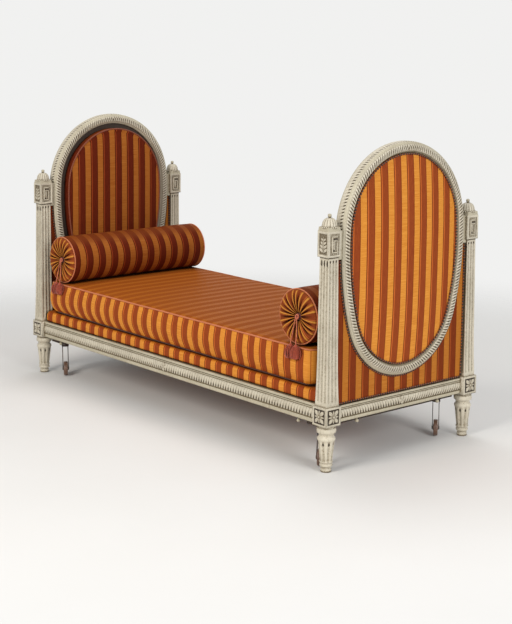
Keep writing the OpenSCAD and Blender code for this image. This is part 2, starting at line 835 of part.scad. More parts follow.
mattress_z = platform_top + soft_gap;
mattress_r = mattress_h * 0.22;
piping_z = mattress_z + mattress_h;
crown_reach = mattress_w * 0.32;
box_draw = piping_r;
function mattress_ring(g, z) =
    [for (p = rect_points(mattress_l / 2 - g, mattress_w / 2 - g, max(mattress_r - g, piping_r / 2)))
        [p[0], p[1], z]];
function mattress_top(g) = piping_z + mattress_crown * (1 - pow(1 - min(g / crown_reach, 1), 2));
mattress_ring_shares = [0.12, 0.28, 0.5, 0.75, 1];
rebate_in = 2 * piping_r + soft_gap;
low_rebate_z = mattress_z + rebate_in;
top_rebate_z = piping_z - piping_r - soft_gap;
side_in = piping_r * 0.6;

module mattress() {
    color(gold)
        loft(concat(
            [mattress_ring(rebate_in, mattress_z), mattress_ring(rebate_in, low_rebate_z),
             mattress_ring(side_in, low_rebate_z),
             mattress_ring(side_in + box_draw / 2, (low_rebate_z + top_rebate_z) / 2),
             mattress_ring(side_in, top_rebate_z), mattress_ring(rebate_in, top_rebate_z),
             mattress_ring(rebate_in, mattress_top(0) + piping_r / 4)],
            [for (share = mattress_ring_shares)
                mattress_ring(crown_reach * share, mattress_top(crown_reach * share))]),
            [0, 0, mattress_z], [0, 0, mattress_top(crown_reach)]);
}

// A piping cord round the mattress: four straight runs and four quarter turns.
module piping_loop(z) {
    a = mattress_l / 2 - piping_r;
    b = mattress_w / 2 - piping_r;
    r = mattress_r - piping_r;
    translate([0, 0, z]) {
        for (q = [0 : 3])
            translate([(q == 0 || q == 3 ? 1 : -1) * (a - r), (q < 2 ? 1 : -1) * (b - r), 0])
                rotate([0, 0, 90 * q])
                    rotate_extrude(angle = 90, $fn = 48) translate([r, 0]) piping_section();
        for (s = [-1, 1]) {
            translate([-(a - r), s * b, 0])
                rotate([0, 90, 0]) linear_extrude(2 * (a - r)) piping_section();
            translate([s * a, b - r, 0])
                rotate([90, 0, 0]) linear_extrude(2 * (b - r)) piping_section();
        }
    }
}

module mattress_piping() {
    color(rust) {
        piping_loop(mattress_z + piping_r);
        piping_loop(piping_z);
    }
}

// Bolsters

bolster_l = mattress_w - 2 * bolster_set_in;
bolster_x = pad_tip_x - bolster_gap - bolster_r;
// The bolster rests on the mattress's slope beside its axis.
bolster_inset = mattress_l / 2 - bolster_x;
bolster_slope = 2 * mattress_crown / crown_reach * (1 - min(bolster_inset / crown_reach, 1));
bolster_z = mattress_top(bolster_inset) + soft_gap + bolster_r * sqrt(1 + bolster_slope * bolster_slope);
bolster_end = bolster_l / 2;
groove_r = bolster_r - 2 * piping_r - 2 * soft_gap;
trim_r = bolster_r - piping_r - soft_gap;
trim_y = bolster_end - piping_r - soft_gap;
dimple = end_button_r * 0.7;
gathers = 16;
gather_depth = piping_r * 0.6;
gather_points = 4 * gathers;
// Each row is a share of the groove's radius, of the dimple's depth and of the gathers' depth.
gather_shares = [[0.45, 0.20, 0.7], [0.68, 0.04, 1], [0.88, 0, 0.7]];

// Lays a shape turned about Z along the bolster's axis, pointing to the side s.
module bolster_axis(e, s) {
    at_end(e)
        translate([bolster_x, 0, bolster_z])
            at_side(s)
                rotate([-90, 0, 0])
                    children();
}

// Rings of one half of a bolster, from its end's middle outwards and on to its waist.
function bolster_ring(r, y, depth) =
    [for (i = [0 : gather_points - 1])
        let (t = 360 * i / gather_points)
        [r * cos(t), r * sin(t), y - depth * (1 - cos(gathers * t)) / 2]];
function bolster_half() = concat(
    [bolster_ring(end_button_r, bolster_end - dimple, 0)],
    [for (s = gather_shares)
        bolster_ring(groove_r * s[0], bolster_end - dimple * s[1], gather_depth * s[2])],
    [bolster_ring(groove_r, bolster_end - piping_r / 2, 0),
     bolster_ring(groove_r, trim_y - notch, 0),
     bolster_ring(bolster_r - piping_r / 4, trim_y - notch, 0),
     bolster_ring(bolster_r, bolster_end * 0.8, 0)]);
function flipped(rings) = [for (ring = rings) [for (p = ring) [p[0], p[1], -p[2]]]];

module bolster(e) {
    color(gold)
        bolster_axis(e, 1)
            loft(concat(flipped(bolster_half()), reversed(bolster_half())),
                 [0, 0, dimple - bolster_end], [0, 0, bolster_end - dimple]);
}

// Each row is a share of the button's radius, and a share of the dimple's depth.
end_button_shares = [[0.9, 0], [1, 0.35], [0.7, 0.8], [0.35, 1]];

module bolster_trim(e) {
    color(cord_red)
        for (s = [-1, 1])
            bolster_axis(e, s) {
                translate([0, 0, trim_y])
                    rotate_extrude($fn = 96) translate([trim_r, 0]) piping_section();
                translate([0, 0, bolster_end - dimple])
                    rotate_extrude($fn = 32)
                        polygon(concat([[0, 0]],
                            [for (share = end_button_shares) [share[0] * end_button_r, share[1] * dimple]],
                            [[0, dimple]]));
            }
}

// Tassel cords: two leave each front button, part as they run down the end, and pass the mattress's edge.
// The route's points are measured from the middle of the button's face. The other cord mirrors it.
cord_r = 2;
cord_sides = 8;
cord_route = [
    [2.6, 0, 0], [2.6, -4, 0], [2.8, -7, -2], [3.2, -9, -6], [4.4, -11, -14], [6.2, -12, -24],
    [8.2, -13, -36], [9.8, -14, -48], [11.2, -15, -60], [12.4, -17, -71], [13.2, -20, -81],
    [13.8, -22, -90], [14, -22.5, -97], [14, -22.5, -102]];
cord_last = len(cord_route) - 1;

function cord_way(i) =
    let (d = cord_route[min(i + 1, cord_last)] - cord_route[max(i - 1, 0)])
    d / norm(d);
function cord_ring(i) =
    let (d = cord_way(i),
         side = [1, 0, 0] - d[0] * d,
         a = side / norm(side),
         b = cross(d, a))
    [for (k = [0 : cord_sides - 1])
        let (t = 360 * k / cord_sides)
        cord_route[i] + cord_r * (cos(t) * a + sin(t) * b)];

// Places a piece and its mirror image at the front button.
module at_button(e) {
    for (k = [0, 1])
        at_end(e)
            translate([bolster_x, -bolster_end, bolster_z])
                mirror([k, 0, 0])
                    children();
}

module tassel_cord(e) {
    color(cord_red)
        at_button(e)
            loft([for (i = [0 : cord_last]) cord_ring(i)], cord_route[0], cord_route[cord_last]);
}

// Each row is a share of the tassel's radius, and a share of its length from the top.
tassel_outline_shares = [
    [0.35, 0], [0.65, 0.08], [0.72, 0.20], [0.55, 0.32], [0.75, 0.40], [0.95, 0.75], [1, 1]];

module tassel(e) {
    color(cord_red)
        at_button(e)
            translate(cord_route[cord_last])
                rotate_extrude($fn = 32)
                    polygon(concat([[0, 0]],
                        [for (s = tassel_outline_shares) [s[0] * tassel_r, -s[1] * tassel_l]],
                        [[0, -tassel_l]]));
}

// Casters

board_low = block_bottom - board_t;
board_gap = 7;
board_out = side_rail_l / 2 - board_gap;
caster_x = stile_x - trail - wheel_r - swing_gap;
caster_y = stile_y - block_y / 2 - caster_set_in;
board_in = caster_x - plate_s * 0.63;
plate_t = 3.5;
boss_h = 9;
boss_r = plate_s * 0.3;
pin_r = 5;
fork_t = 3;
fork_gap = 1;
crown_t = 9;
lift = 1;
axle_z = wheel_r + lift;
axle_r = 4;
axle_head = 2;
eye_r = axle_r * 2.2;
screw_r = 2.2;
screw_l = 18;
screw_head_r = screw_r * 2;
screw_head_h = screw_r;
plate_low = board_low - plate_t;
boss_low = plate_low - boss_h;
caster_turns = [-50, -48, -30, 140];
caster_places = [[1, -1], [1, 1], [-1, -1], [-1, 1]];

module caster(i) {
    translate([caster_places[i][0] * caster_x, caster_places[i][1] * caster_y, 0])
        children();
}

screw_place = plate_s / 2 - screw_head_r * 1.5;
module screw_places() {
    for (a = [-1, 1], b = [-1, 1])
        translate([a * screw_place, b * screw_place, plate_low])
            children();
}

module caster_boards() {
    color(raw_wood)
        difference() {
            for (e = [-1, 1])
                at_end(e)
                    translate([board_in, -slat_l / 2, board_low])
                        cube([board_out - board_in, slat_l, board_t]);
            for (i = [0 : 3])
                caster(i) screw_places()
                    cylinder(h = screw_l + fit_gap, r = screw_r + fit_gap, $fn = 24);
        }
}

module caster_screws() {
    color(steel)
        for (i = [0 : 3])
            caster(i) screw_places() {
                cylinder(h = screw_l, r = screw_r, $fn = 24);
                translate([0, 0, -screw_head_h])
                    cylinder(h = screw_head_h, r = screw_head_r, $fn = 24);
            }
}

module caster_plate(i) {
    color(steel)
        caster(i)
            difference() {
                union() {
                    translate([-plate_s / 2, -plate_s / 2, plate_low])
                        cube([plate_s, plate_s, plate_t]);
                    translate([0, 0, boss_low])
                        cylinder(h = boss_h + plate_t / 2, r = boss_r, $fn = 48);
                }
                translate([0, 0, boss_low - overrun])
                    cylinder(h = boss_h + plate_t + 2 * overrun, r = pin_r + run_gap, $fn = 48);
                screw_places()
                    translate([0, 0, -overrun])
                        cylinder(h = plate_t + 2 * overrun, r = screw_r + fit_gap, $fn = 24);
            }
}

// A fork cheek: it slants from the crown back to the axle.
module cheek() {
    crown_z = boss_low - run_gap - crown_t;
    half = boss_r * 0.8;
    polygon([[-half, crown_z + crown_t / 2], [-half, crown_z - crown_t],
             [trail - eye_r, axle_z + eye_r / 2], [trail - eye_r * 0.9, axle_z],
             [trail + eye_r * 0.9, axle_z], [trail + eye_r, axle_z + eye_r / 2],
             [half, crown_z - crown_t], [half, crown_z + crown_t / 2]]);
    translate([trail, axle_z])
        circle(r = eye_r, $fn = 32);
}

module caster_fork(i) {
    inner = wheel_w / 2 + fork_gap;
    crown_top = boss_low - run_gap;
    color(steel)
        caster(i)
            rotate([0, 0, caster_turns[i]])
                difference() {
                    union() {
                        for (s = [-1, 1])
                            translate([0, s * (inner + fork_t / 2) + fork_t / 2, 0])
                                rotate([90, 0, 0]) linear_extrude(fork_t) cheek();
                        translate([0, 0, crown_top - crown_t])
                            cylinder(h = crown_t, r = boss_r, $fn = 48);
                        translate([0, 0, crown_top - overrun])
                            cylinder(h = boss_h + plate_t - run_gap + overrun, r = pin_r, $fn = 48);
                    }
                    translate([trail, inner + fork_t + overrun, axle_z])
                        rotate([90, 0, 0])
                            cylinder(h = 2 * (inner + fork_t + overrun), r = axle_r, $fn = 48);
                }
}

module caster_axle(i) {
    half = wheel_w / 2 + fork_gap + fork_t + axle_head;
    color(steel)
        caster(i)
            rotate([0, 0, caster_turns[i]])
                translate([trail, half, axle_z])
                    rotate([90, 0, 0]) {
                        cylinder(h = 2 * half, r = axle_r, $fn = 48);
                        for (z = [0, 2 * half - axle_head])
                            translate([0, 0, z]) cylinder(h = axle_head, r = axle_r * 1.5, $fn = 48);
                    }
}

// Each row is a share of the wheel's radius, and a share of half its width.
wheel_outline_shares = [
    [0.34, 1], [0.36, 0.7], [0.72, 0.6], [0.76, 0.85], [0.92, 0.85], [0.98, 0.7], [1, 0.45]];
module caster_wheel(i) {
    half = [for (s = wheel_outline_shares) [s[0] * wheel_r, s[1] * wheel_w / 2]];
    color(rubber)
        caster(i)
            rotate([0, 0, caster_turns[i]])
                translate([trail, 0, axle_z])
                    rotate([90, 0, 0])
                        rotate_extrude($fn = 64)
                            polygon(concat([[axle_r + run_gap, wheel_w / 2]], half,
                                reversed([for (p = half) [p[0], -p[1]]]),
                                [[axle_r + run_gap, -wheel_w / 2]]));
}

stile(1, -1);  // stile_foot_front
stile(1, 1);  // stile_foot_back
stile(-1, -1);  // stile_head_front
stile(-1, 1);  // stile_head_back
finial(1, -1);  // finial_foot_front
finial(1, 1);  // finial_foot_back
finial(-1, -1);  // finial_head_front
finial(-1, 1);  // finial_head_back
side_rail(-1);  // front_rail
side_rail(1);  // back_rail
end_rail(1);  // foot_rail
end_rail(-1);  // head_rail
tenon_pegs();
oval_upper(1);  // foot_oval_upper
oval_lower(1);  // foot_oval_lower
oval_upper(-1);  // head_oval_upper
oval_lower(-1);  // head_oval_lower
ear_blocks();
backing_board(1);  // foot_backing_board
backing_board(-1);  // head_backing_board
outer_panel(1);  // foot_outer_panel
outer_panel(-1);  // head_outer_panel
inner_pad(1);  // foot_inner_pad
inner_pad(-1);  // head_inner_pad
pad_piping();
spandrel(1);  // foot_spandrel
spandrel(-1);  // head_spandrel
slat_bearers();
slats();
platform_frame();
platform_stuffing();
platform_cover();
mattress();
mattress_piping();
bolster(1);  // bolster_foot
bolster(-1);  // bolster_head
bolster_trim(1);  // bolster_foot_trim
bolster_trim(-1);  // bolster_head_trim
tassel_cord(1);  // cord_foot
tassel_cord(-1);  // cord_head
tassel(1);  // tassel_foot
tassel(-1);  // tassel_head
caster_boards();
caster_screws();
caster_plate(0);  // caster_plate_1
caster_fork(0);  // caster_fork_1
caster_axle(0);  // caster_axle_1
caster_wheel(0);  // caster_wheel_1
caster_plate(1);  // caster_plate_2
caster_fork(1);  // caster_fork_2
caster_axle(1);  // caster_axle_2
caster_wheel(1);  // caster_wheel_2
caster_plate(2);  // caster_plate_3
caster_fork(2);  // caster_fork_3
caster_axle(2);  // caster_axle_3
caster_wheel(2);  // caster_wheel_3
caster_plate(3);  // caster_plate_4
caster_fork(3);  // caster_fork_4
caster_axle(3);  // caster_axle_4
caster_wheel(3);  // caster_wheel_4
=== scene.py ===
# %% [markdown]
# # A painted daybed with two oval ends
# This lesson dresses a finished joiner's model of a daybed: four fluted stiles, carved rails, an
# upholstered oval at each end, a boxed mattress, two bolsters and four casters. The joinery is exact and
# stays as it is. What Blender adds is everything that a joiner does not do: carving, paint, fabric,
# stuffing and cord.

# %% Load the joiner's model
import functools
import json
import math

import bmesh
import bpy
from mathutils import Matrix, Vector, noise


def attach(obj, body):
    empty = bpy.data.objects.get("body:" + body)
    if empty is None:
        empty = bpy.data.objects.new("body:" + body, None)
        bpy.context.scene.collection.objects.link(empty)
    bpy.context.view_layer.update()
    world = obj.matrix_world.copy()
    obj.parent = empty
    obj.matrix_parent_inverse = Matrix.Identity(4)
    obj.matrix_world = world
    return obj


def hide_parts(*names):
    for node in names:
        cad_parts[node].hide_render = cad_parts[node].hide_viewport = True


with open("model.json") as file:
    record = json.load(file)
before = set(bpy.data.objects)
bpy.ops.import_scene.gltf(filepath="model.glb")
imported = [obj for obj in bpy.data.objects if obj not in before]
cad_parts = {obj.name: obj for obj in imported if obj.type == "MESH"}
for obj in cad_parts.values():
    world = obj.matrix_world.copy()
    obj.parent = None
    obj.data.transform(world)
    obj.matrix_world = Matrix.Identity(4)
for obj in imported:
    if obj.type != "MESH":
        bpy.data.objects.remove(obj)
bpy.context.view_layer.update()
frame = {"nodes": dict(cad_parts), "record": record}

# %% [markdown]
# ## The camera
# The photograph was taken from the front right, about six metres away and a little above the seat. The
# place and the lens were worked out from the corners of the blocks, whose real sizes are known, so that the
# model can be laid over the picture. The lens is shifted, as on a view camera, to keep the posts upright.

# %% Place the camera
scene = bpy.context.scene
picture_wide, picture_high = 512, 624
focal_px = 1406.765
middle_px = (256.571, 189.984)
eye = Vector((4.5963, -3.8312, 1.6135))
yaw, pitch, roll = (math.radians(a) for a in (49.4367, 6.5732, 0.5536))

backward = Vector((math.sin(yaw) * math.cos(pitch), -math.cos(yaw) * math.cos(pitch), math.sin(pitch)))
level = Vector((math.cos(yaw), math.sin(yaw), 0))
upward = backward.cross(level)
view_right = math.cos(roll) * level + math.sin(roll) * upward
view_up = math.cos(roll) * upward - math.sin(roll) * level

lens = bpy.data.cameras.new("view")
lens.sensor_width = 36
lens.lens = focal_px / picture_high * lens.sensor_width
lens.shift_x = (picture_wide / 2 - middle_px[0]) / picture_high
lens.shift_y = (middle_px[1] - picture_high / 2) / picture_high
camera = bpy.data.objects.new("view", lens)
scene.collection.objects.link(camera)
camera.matrix_world = Matrix.Translation(eye) @ Matrix((view_right, view_up, backward)).transposed().to_4x4()
scene.camera = camera
print("lens:", round(lens.lens, 2), "mm, shift:", round(lens.shift_x, 4), round(lens.shift_y, 4))

# %% [markdown]
# ## Small helpers
# Sizes are written in millimetres, as on a drawing, and multiplied by `mm`. A piece starts as a bmesh, gets
# its doubles merged and its normals turned outwards, and then rides on the body of the joiner's model that
# carries it. Its object stays at the origin: the place is in the mesh, so object coordinates are real
# places. Every form carries one map, called weave. On fabric it holds the cloth's own directions in metres,
# and on carving it holds how deep a point lies.

# %% Helpers for pieces
mm = 0.001
weld = 0.002 * mm
bed_ends = (("foot", 1), ("head", -1))


def weave_layer(bm):
    """The weave map of a bmesh, made where it is missing."""
    return bm.loops.layers.uv.get("weave") or bm.loops.layers.uv.new("weave")


def chart_faces(bm, faces, chart):
    """Writes chart(place, normal) into the weave map of some faces."""
    layer = weave_layer(bm)
    for face in faces:
        for loop in face.loops:
            loop[layer].uv = chart(loop.vert.co, face.normal)


def piece(name, bm, material, body, sharp=40):
    """Closes a bmesh into an object of one material that rides on a body."""
    bmesh.ops.remove_doubles(bm, verts=bm.verts, dist=weld)
    rims = [edge for edge in bm.edges if len(edge.link_faces) == 1]
    bmesh.ops.holes_fill(bm, edges=rims, sides=0)
    bmesh.ops.recalc_face_normals(bm, faces=bm.faces)
    mesh = bpy.data.meshes.new(name)
    bm.to_mesh(mesh)
    bm.free()
    mesh.shade_smooth()
    mesh.set_sharp_from_angle(angle=math.radians(sharp))
    mesh.materials.append(material)
    made = bpy.data.objects.new(name, mesh)
    scene.collection.objects.link(made)
    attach(made, body)
    return made


def grid_form(bm, wide, high, place, chart=None):
    """A flat grid whose corners are moved to place(u, v). chart(u, v) fills its weave map."""
    layer = weave_layer(bm)
    made = bmesh.ops.create_grid(bm, x_segments=wide, y_segments=high, size=0.5)
    corners = {v: (v.co.x + 0.5, v.co.y + 0.5) for v in made["verts"]}
    if chart:
        charts = {corner: chart(u, v) for corner, (u, v) in corners.items()}
        for face in {f for v in made["verts"] for f in v.link_faces}:
            for loop in face.loops:
                loop[layer].uv = charts[loop.vert]
    for corner, (u, v) in corners.items():
        corner.co = place(u, v)
    return made["verts"]


def closed_form(bm, wide, high, place, chart):
    """A grid that closes on itself, welded where its sides meet."""
    made = grid_form(bm, wide, high, place, chart)
    bmesh.ops.remove_doubles(bm, verts=made, dist=weld)


# %% [markdown]
# ## Nodes
# Every finish below is a small tree of nodes. `fill` sets or links named sockets, `put` adds one node and
# fills it, `calc` does one sum, and `group` makes an effect that several materials share. Colours are
# written as they are read off a colour picker, from 0 to 255, and turned into the linear values that the
# shader wants.

# %% Helpers for nodes


def srgb(red, green, blue):
    """A colour picker's colour as a linear colour."""
    shares = [c / 255 for c in (red, green, blue)]
    return tuple(c / 12.92 if c <= 0.04045 else ((c + 0.055) / 1.055) ** 2.4 for c in shares) + (1,)


def fill(tree, inputs, values):
    """Sets each named socket, or links it where its value is the socket of another node."""
    for key, value in values.items():
        if isinstance(value, bpy.types.NodeSocket):
            tree.links.new(value, inputs[key])
        else:
            inputs[key].default_value = value


def put(tree, kind, values=None, **settings):
    """Adds a node with its settings and fills its sockets."""
    made = tree.nodes.new("ShaderNode" + kind)
    for key, value in settings.items():
        setattr(made, key, value)
    fill(tree, made.inputs, values or {})
    return made


def calc(tree, operation, *terms):
    """One sum of a Math node."""
    return put(tree, "Math", dict(enumerate(terms)), operation=operation).outputs[0]


def blend(tree, share, first, second, blend_type="MIX"):
    """Mixes two colours."""
    values = {0: share, 6: first, 7: second}
    return put(tree, "Mix", values, data_type="RGBA", blend_type=blend_type).outputs[2]


def ramp(tree, value, low, high, to_low=0.0, to_high=1.0):
    """A soft step from one value to another."""
    values = {0: value, 1: low, 2: high, 3: to_low, 4: to_high}
    return put(tree, "MapRange", values, interpolation_type="SMOOTHSTEP").outputs[0]


def cloudy(tree, where, scale, detail=2.0, **more):
    """A noise at a place. More sets other sockets of the node by their names."""
    return put(tree, "TexNoise", {"Vector": where, "Scale": scale, "Detail": detail, **more}).outputs[0]


def openness(tree, reach):
    """1 on an open surface, and less in hollows within a reach."""
    return put(tree, "AmbientOcclusion", {"Distance": reach}, samples=6).outputs["AO"]


def facing(tree, axis):
    """How much the surface looks along an axis, from -1 to 1."""
    normal = put(tree, "NewGeometry").outputs["Normal"]
    return put(tree, "SeparateXYZ", {0: normal}).outputs[axis]


def bumped(tree, shader, height, strength, distance):
    """Gives a shader the small relief of a height."""
    relief = put(tree, "Bump", {"Height": height, "Strength": strength, "Distance": distance})
    tree.links.new(relief.outputs[0], shader.inputs["Normal"])


def group(name, inputs, outputs):
    """An empty node group with named sockets, and its two ends."""
    tree = bpy.data.node_groups.new(name, "ShaderNodeTree")
    for label, kind, default in inputs:
        socket = tree.interface.new_socket(name=label, in_out="INPUT", socket_type="NodeSocket" + kind)
        socket.default_value = default
    for label, kind in outputs:
        tree.interface.new_socket(name=label, in_out="OUTPUT", socket_type="NodeSocket" + kind)
    start = tree.nodes.new("NodeGroupInput").outputs
    end = tree.nodes.new("NodeGroupOutput").inputs
    return tree, start, end


def place_group(tree, made, values):
    """Places a node group in a material and fills its sockets."""
    holder = tree.nodes.new("ShaderNodeGroup")
    holder.node_tree = made
    fill(tree, holder.inputs, values)
    return holder.outputs


def new_material(name):
    """A material with an empty tree but for its shader."""
    material = bpy.data.materials.new(name)
    material.use_nodes = True
    tree = material.node_tree
    return material, tree, tree.nodes["Principled BSDF"]


# %% [markdown]
# ## The striped silk
# The cover is a ribbed silk: gold stripes on a rust ground, each with a fine dark line and an orange line
# at its side. The cloth is drawn once, on a map in metres that every fabric piece carries: U runs across
# the stripes and V along them. Where the cloth lies face up, the stripes are drawn with little contrast, a
# painted sheen for the light its ribs catch, which is why the mattress's top looks plain and its front does
# not.

# %% Pattern of the stripes
stripe_pitch = 68.8 * mm
gold = srgb(226, 154, 66)
gold_shade = srgb(200, 122, 44)
rust = srgb(156, 76, 34)
rust_shade = srgb(130, 54, 28)
dark_line = srgb(104, 42, 24)
orange_line = srgb(206, 108, 48)
# Painted sheen: low-contrast stripe colours for cloth that faces up.
sheen_gold = srgb(180, 106, 40)
sheen_rust = srgb(162, 90, 35)

stripes, start, end = group(
    "stripes",
    [("Across", "Float", 0.0), ("Along", "Float", 0.0), ("Painted Sheen", "Float", 0.0)],
    [("Color", "Color"), ("Gold", "Float")],
)
waver_at = put(stripes, "CombineXYZ", {0: calc(stripes, "MULTIPLY", start["Across"], 9.0), 1: start["Along"]})
waver = cloudy(stripes, waver_at.outputs[0], 14.0, 3.0)
moved = calc(stripes, "MULTIPLY_ADD", waver, 1.6 * mm, start["Across"])
turn = calc(stripes, "FRACT", calc(stripes, "DIVIDE", moved, stripe_pitch))


def stripe_band(low, high, soft):
    """1 between two shares of the pitch and 0 outside, with soft sides."""
    rise = ramp(stripes, turn, low - soft, low + soft)
    fall = ramp(stripes, turn, high - soft, high + soft, 1.0, 0.0)
    return calc(stripes, "MULTIPLY", rise, fall)


gold_band = stripe_band(0.285, 0.715, 0.012)
dark_band = stripe_band(0.735, 0.775, 0.010)
orange_band = stripe_band(0.79, 0.845, 0.012)
dark_edge = stripe_band(0.245, 0.275, 0.010)
yarn_at = put(stripes, "CombineXYZ", {0: calc(stripes, "MULTIPLY", start["Across"], 60.0), 1: start["Along"]})
yarn = cloudy(stripes, yarn_at.outputs[0], 30.0, 4.0)
warp = put(stripes, "CombineXYZ", {0: start["Across"], 1: calc(stripes, "MULTIPLY", start["Along"], 40.0)})
slub = cloudy(stripes, warp.outputs[0], 16.0, 3.0)
ground = blend(stripes, ramp(stripes, yarn, 0.3, 0.7), rust_shade, rust)
strip = blend(stripes, ramp(stripes, slub, 0.3, 0.75), gold_shade, gold)
cloth = blend(stripes, gold_band, ground, strip)
cloth = blend(stripes, dark_band, cloth, dark_line)
cloth = blend(stripes, dark_edge, cloth, dark_line)
cloth = blend(stripes, orange_band, cloth, orange_line)
# Painted sheen: the stripes redrawn with little contrast where the cloth faces up.
plain = blend(stripes, gold_band, sheen_rust, sheen_gold)
plain = blend(stripes, calc(stripes, "MULTIPLY", dark_band, 0.35), plain, rust)
plain = blend(stripes, calc(stripes, "MULTIPLY", slub, 0.35), plain, rust)
cloth = blend(stripes, calc(stripes, "MULTIPLY", start["Painted Sheen"], 0.93), cloth, plain)
stripes.links.new(cloth, end["Color"])
stripes.links.new(gold_band, end["Gold"])

# %% [markdown]
# The weave itself is a rib: fine cords run across the stripes, and finer warp threads run along them. It
# only feeds a bump, so it shows in a close view and never costs a face. The same group serves the piping
# and the braid, with other sizes.

# %% Weave of the cloth
weave, start, end = group(
    "ribbed weave",
    [
        ("Across", "Float", 0.0), ("Along", "Float", 0.0), ("Rib", "Float", 1.3 * mm),
        ("Thread", "Float", 0.7 * mm),
    ],
    [("Height", "Float")],
)  # fmt: skip


def wave(way, pitch):
    """A sine along one direction of the cloth."""
    return calc(weave, "SINE", calc(weave, "DIVIDE", calc(weave, "MULTIPLY", way, 2 * math.pi), pitch))


rib = wave(start["Along"], start["Rib"])
thread = wave(start["Across"], start["Thread"])
crossing = calc(weave, "MULTIPLY_ADD", calc(weave, "MULTIPLY", thread, rib), 0.35, rib)
weave.links.new(calc(weave, "MULTIPLY_ADD", crossing, 0.37, 0.5), end["Height"])


def weave_map(tree):
    """The two directions of a piece's own weave map."""
    chart = put(tree, "UVMap", uv_map="weave")
    parts = put(tree, "SeparateXYZ", {0: chart.outputs[0]})
    return parts.outputs[0], parts.outputs[1]


fold_shade = srgb(38, 15, 9)


def striped(name, tone, folds=0.0, contrast=1.0, ends_tone=None, axis=1):
    """The striped silk in one tone.

    A tone under white is painted shade. Folds is the reach of seams and gathers, whose valleys are painted
    dark as painted shade. ends_tone is a painted change of light on cloth that faces along an axis: the
    width of the bed for the ends of a bolster, upwards for the top of the mattress.
    """
    material, tree, shader = new_material(name)
    across, along = weave_map(tree)
    # Painted sheen: how far the cloth faces up.
    painted_sheen = ramp(tree, facing(tree, 2), 0.55, 0.97)
    drawn = place_group(tree, stripes, {"Across": across, "Along": along, "Painted Sheen": painted_sheen})
    woven = place_group(tree, weave, {"Across": across, "Along": along})
    deepened = put(tree, "Gamma", {"Color": drawn["Color"], "Gamma": contrast}).outputs[0]
    toned = blend(tree, 1.0, deepened, tone, "MULTIPLY")
    if ends_tone:
        at_end = ramp(tree, calc(tree, "ABSOLUTE", facing(tree, axis)), 0.35, 0.75)
        toned = blend(tree, at_end, toned, blend(tree, 1.0, drawn["Color"], ends_tone, "MULTIPLY"))
    if folds:
        # Painted shade: the valleys of folds and seams go dark.
        painted_shade = ramp(tree, openness(tree, folds), 0.35, 0.85, 0.92, 0.0)
        toned = blend(tree, painted_shade, toned, fold_shade)
    values = {
        "Base Color": toned, "Roughness": ramp(tree, drawn["Gold"], 0, 1, 0.62, 0.46), "Sheen Weight": 0.02,
        "Sheen Roughness": 0.4, "Sheen Tint": srgb(255, 180, 100), "Specular IOR Level": 0.03,
    }  # fmt: skip
    fill(tree, shader.inputs, values)
    bumped(tree, shader, woven["Height"], 0.35, 0.3 * mm)
    return material


# The tones below are painted light: a tone under white is painted shade for cloth away from the lamps, folds
# paint the valleys of seams and gathers dark as painted shade, and the seat's top is toned darker and more
# orange as painted light.
silk = striped("striped silk", (1.0, 1.0, 1.0, 1))
inner_silk = striped("striped silk, painted shade", (0.62, 0.68, 1.3, 1), 22 * mm, 1.3)
shaded_silk = striped("striped silk, shaded", (0.68, 0.62, 0.62, 1))
gathered_silk = striped("striped silk, gathered, painted shade", (0.61, 0.66, 1.3, 1), 14 * mm, 1.3, (0.82, 0.86, 0.9, 1))
seat_silk = striped("striped silk, seat", (1.0, 0.98, 0.96, 1), 17 * mm, 1.0, (0.84, 0.74, 0.5, 1), axis=2)

# %% [markdown]
# ## Piping, tassels and braid
# The seams carry a salmon piping: a cord in a cover cut on the bias, so its weave runs aslant. The tassels
# and their cords are twisted red silk. One function makes all of them, because they differ only in colour,
# thickness of thread and slant.

# %% Corded materials


def corded(name, light, dark, rib, slant, sheen):
    """A twisted or bias-woven thread, lighter on its crests and darker between them as painted light, broken
    by fuzz, and painted shade where things come near.
    """
    material, tree, shader = new_material(name)
    across, along = weave_map(tree)
    leaning = calc(tree, "MULTIPLY_ADD", across, slant, along)
    woven = place_group(tree, weave, {"Across": across, "Along": leaning, "Rib": rib, "Thread": rib * 0.8})
    fuzz = cloudy(tree, put(tree, "TexCoord").outputs["Object"], 420.0)
    tone = calc(tree, "MULTIPLY_ADD", fuzz, 0.7, calc(tree, "MULTIPLY", woven["Height"], 0.5))
    twisted = blend(tree, ramp(tree, tone, 0.3, 0.9), dark, light)
    # Painted shade: the thread goes nearly black near other surfaces.
    painted_shade = ramp(tree, openness(tree, 20 * mm), 0.2, 0.6, 0.9, 0.0)
    values = {
        "Base Color": blend(tree, painted_shade, twisted, srgb(36, 16, 10)),
        "Roughness": ramp(tree, fuzz, 0.2, 0.8, 0.5, 0.75), "Sheen Weight": sheen, "Specular IOR Level": 0.3,
    }  # fmt: skip
    fill(tree, shader.inputs, values)
    bumped(tree, shader, woven["Height"], 0.6, 0.4 * mm)
    return material


piping_silk = corded("piping silk", srgb(216, 130, 82), srgb(170, 88, 50), 1.2 * mm, 1.0, 0.1)
brown_piping = corded("brown piping silk", srgb(150, 76, 44), srgb(92, 42, 26), 1.2 * mm, 1.0, 0.1)
# Painted shade: a darker piping for the lower seam under the mattress.
shaded_piping = corded("piping silk, painted shade", srgb(92, 46, 28), srgb(52, 26, 17), 1.2 * mm, 1.0, 0.1)
tassel_silk = corded("tassel silk", srgb(200, 88, 52), srgb(122, 38, 24), 0.9 * mm, 0.4, 0.3)
button_silk = corded("button silk", srgb(122, 44, 36), srgb(66, 20, 20), 0.9 * mm, 0.4, 0.2)
cord_silk = corded("cord silk", srgb(220, 128, 90), srgb(150, 58, 38), 1.1 * mm, 1.4, 0.2)
braid_silk = corded("braid silk", srgb(182, 104, 60), srgb(108, 56, 32), 1.0 * mm, 0.8, 0.1)

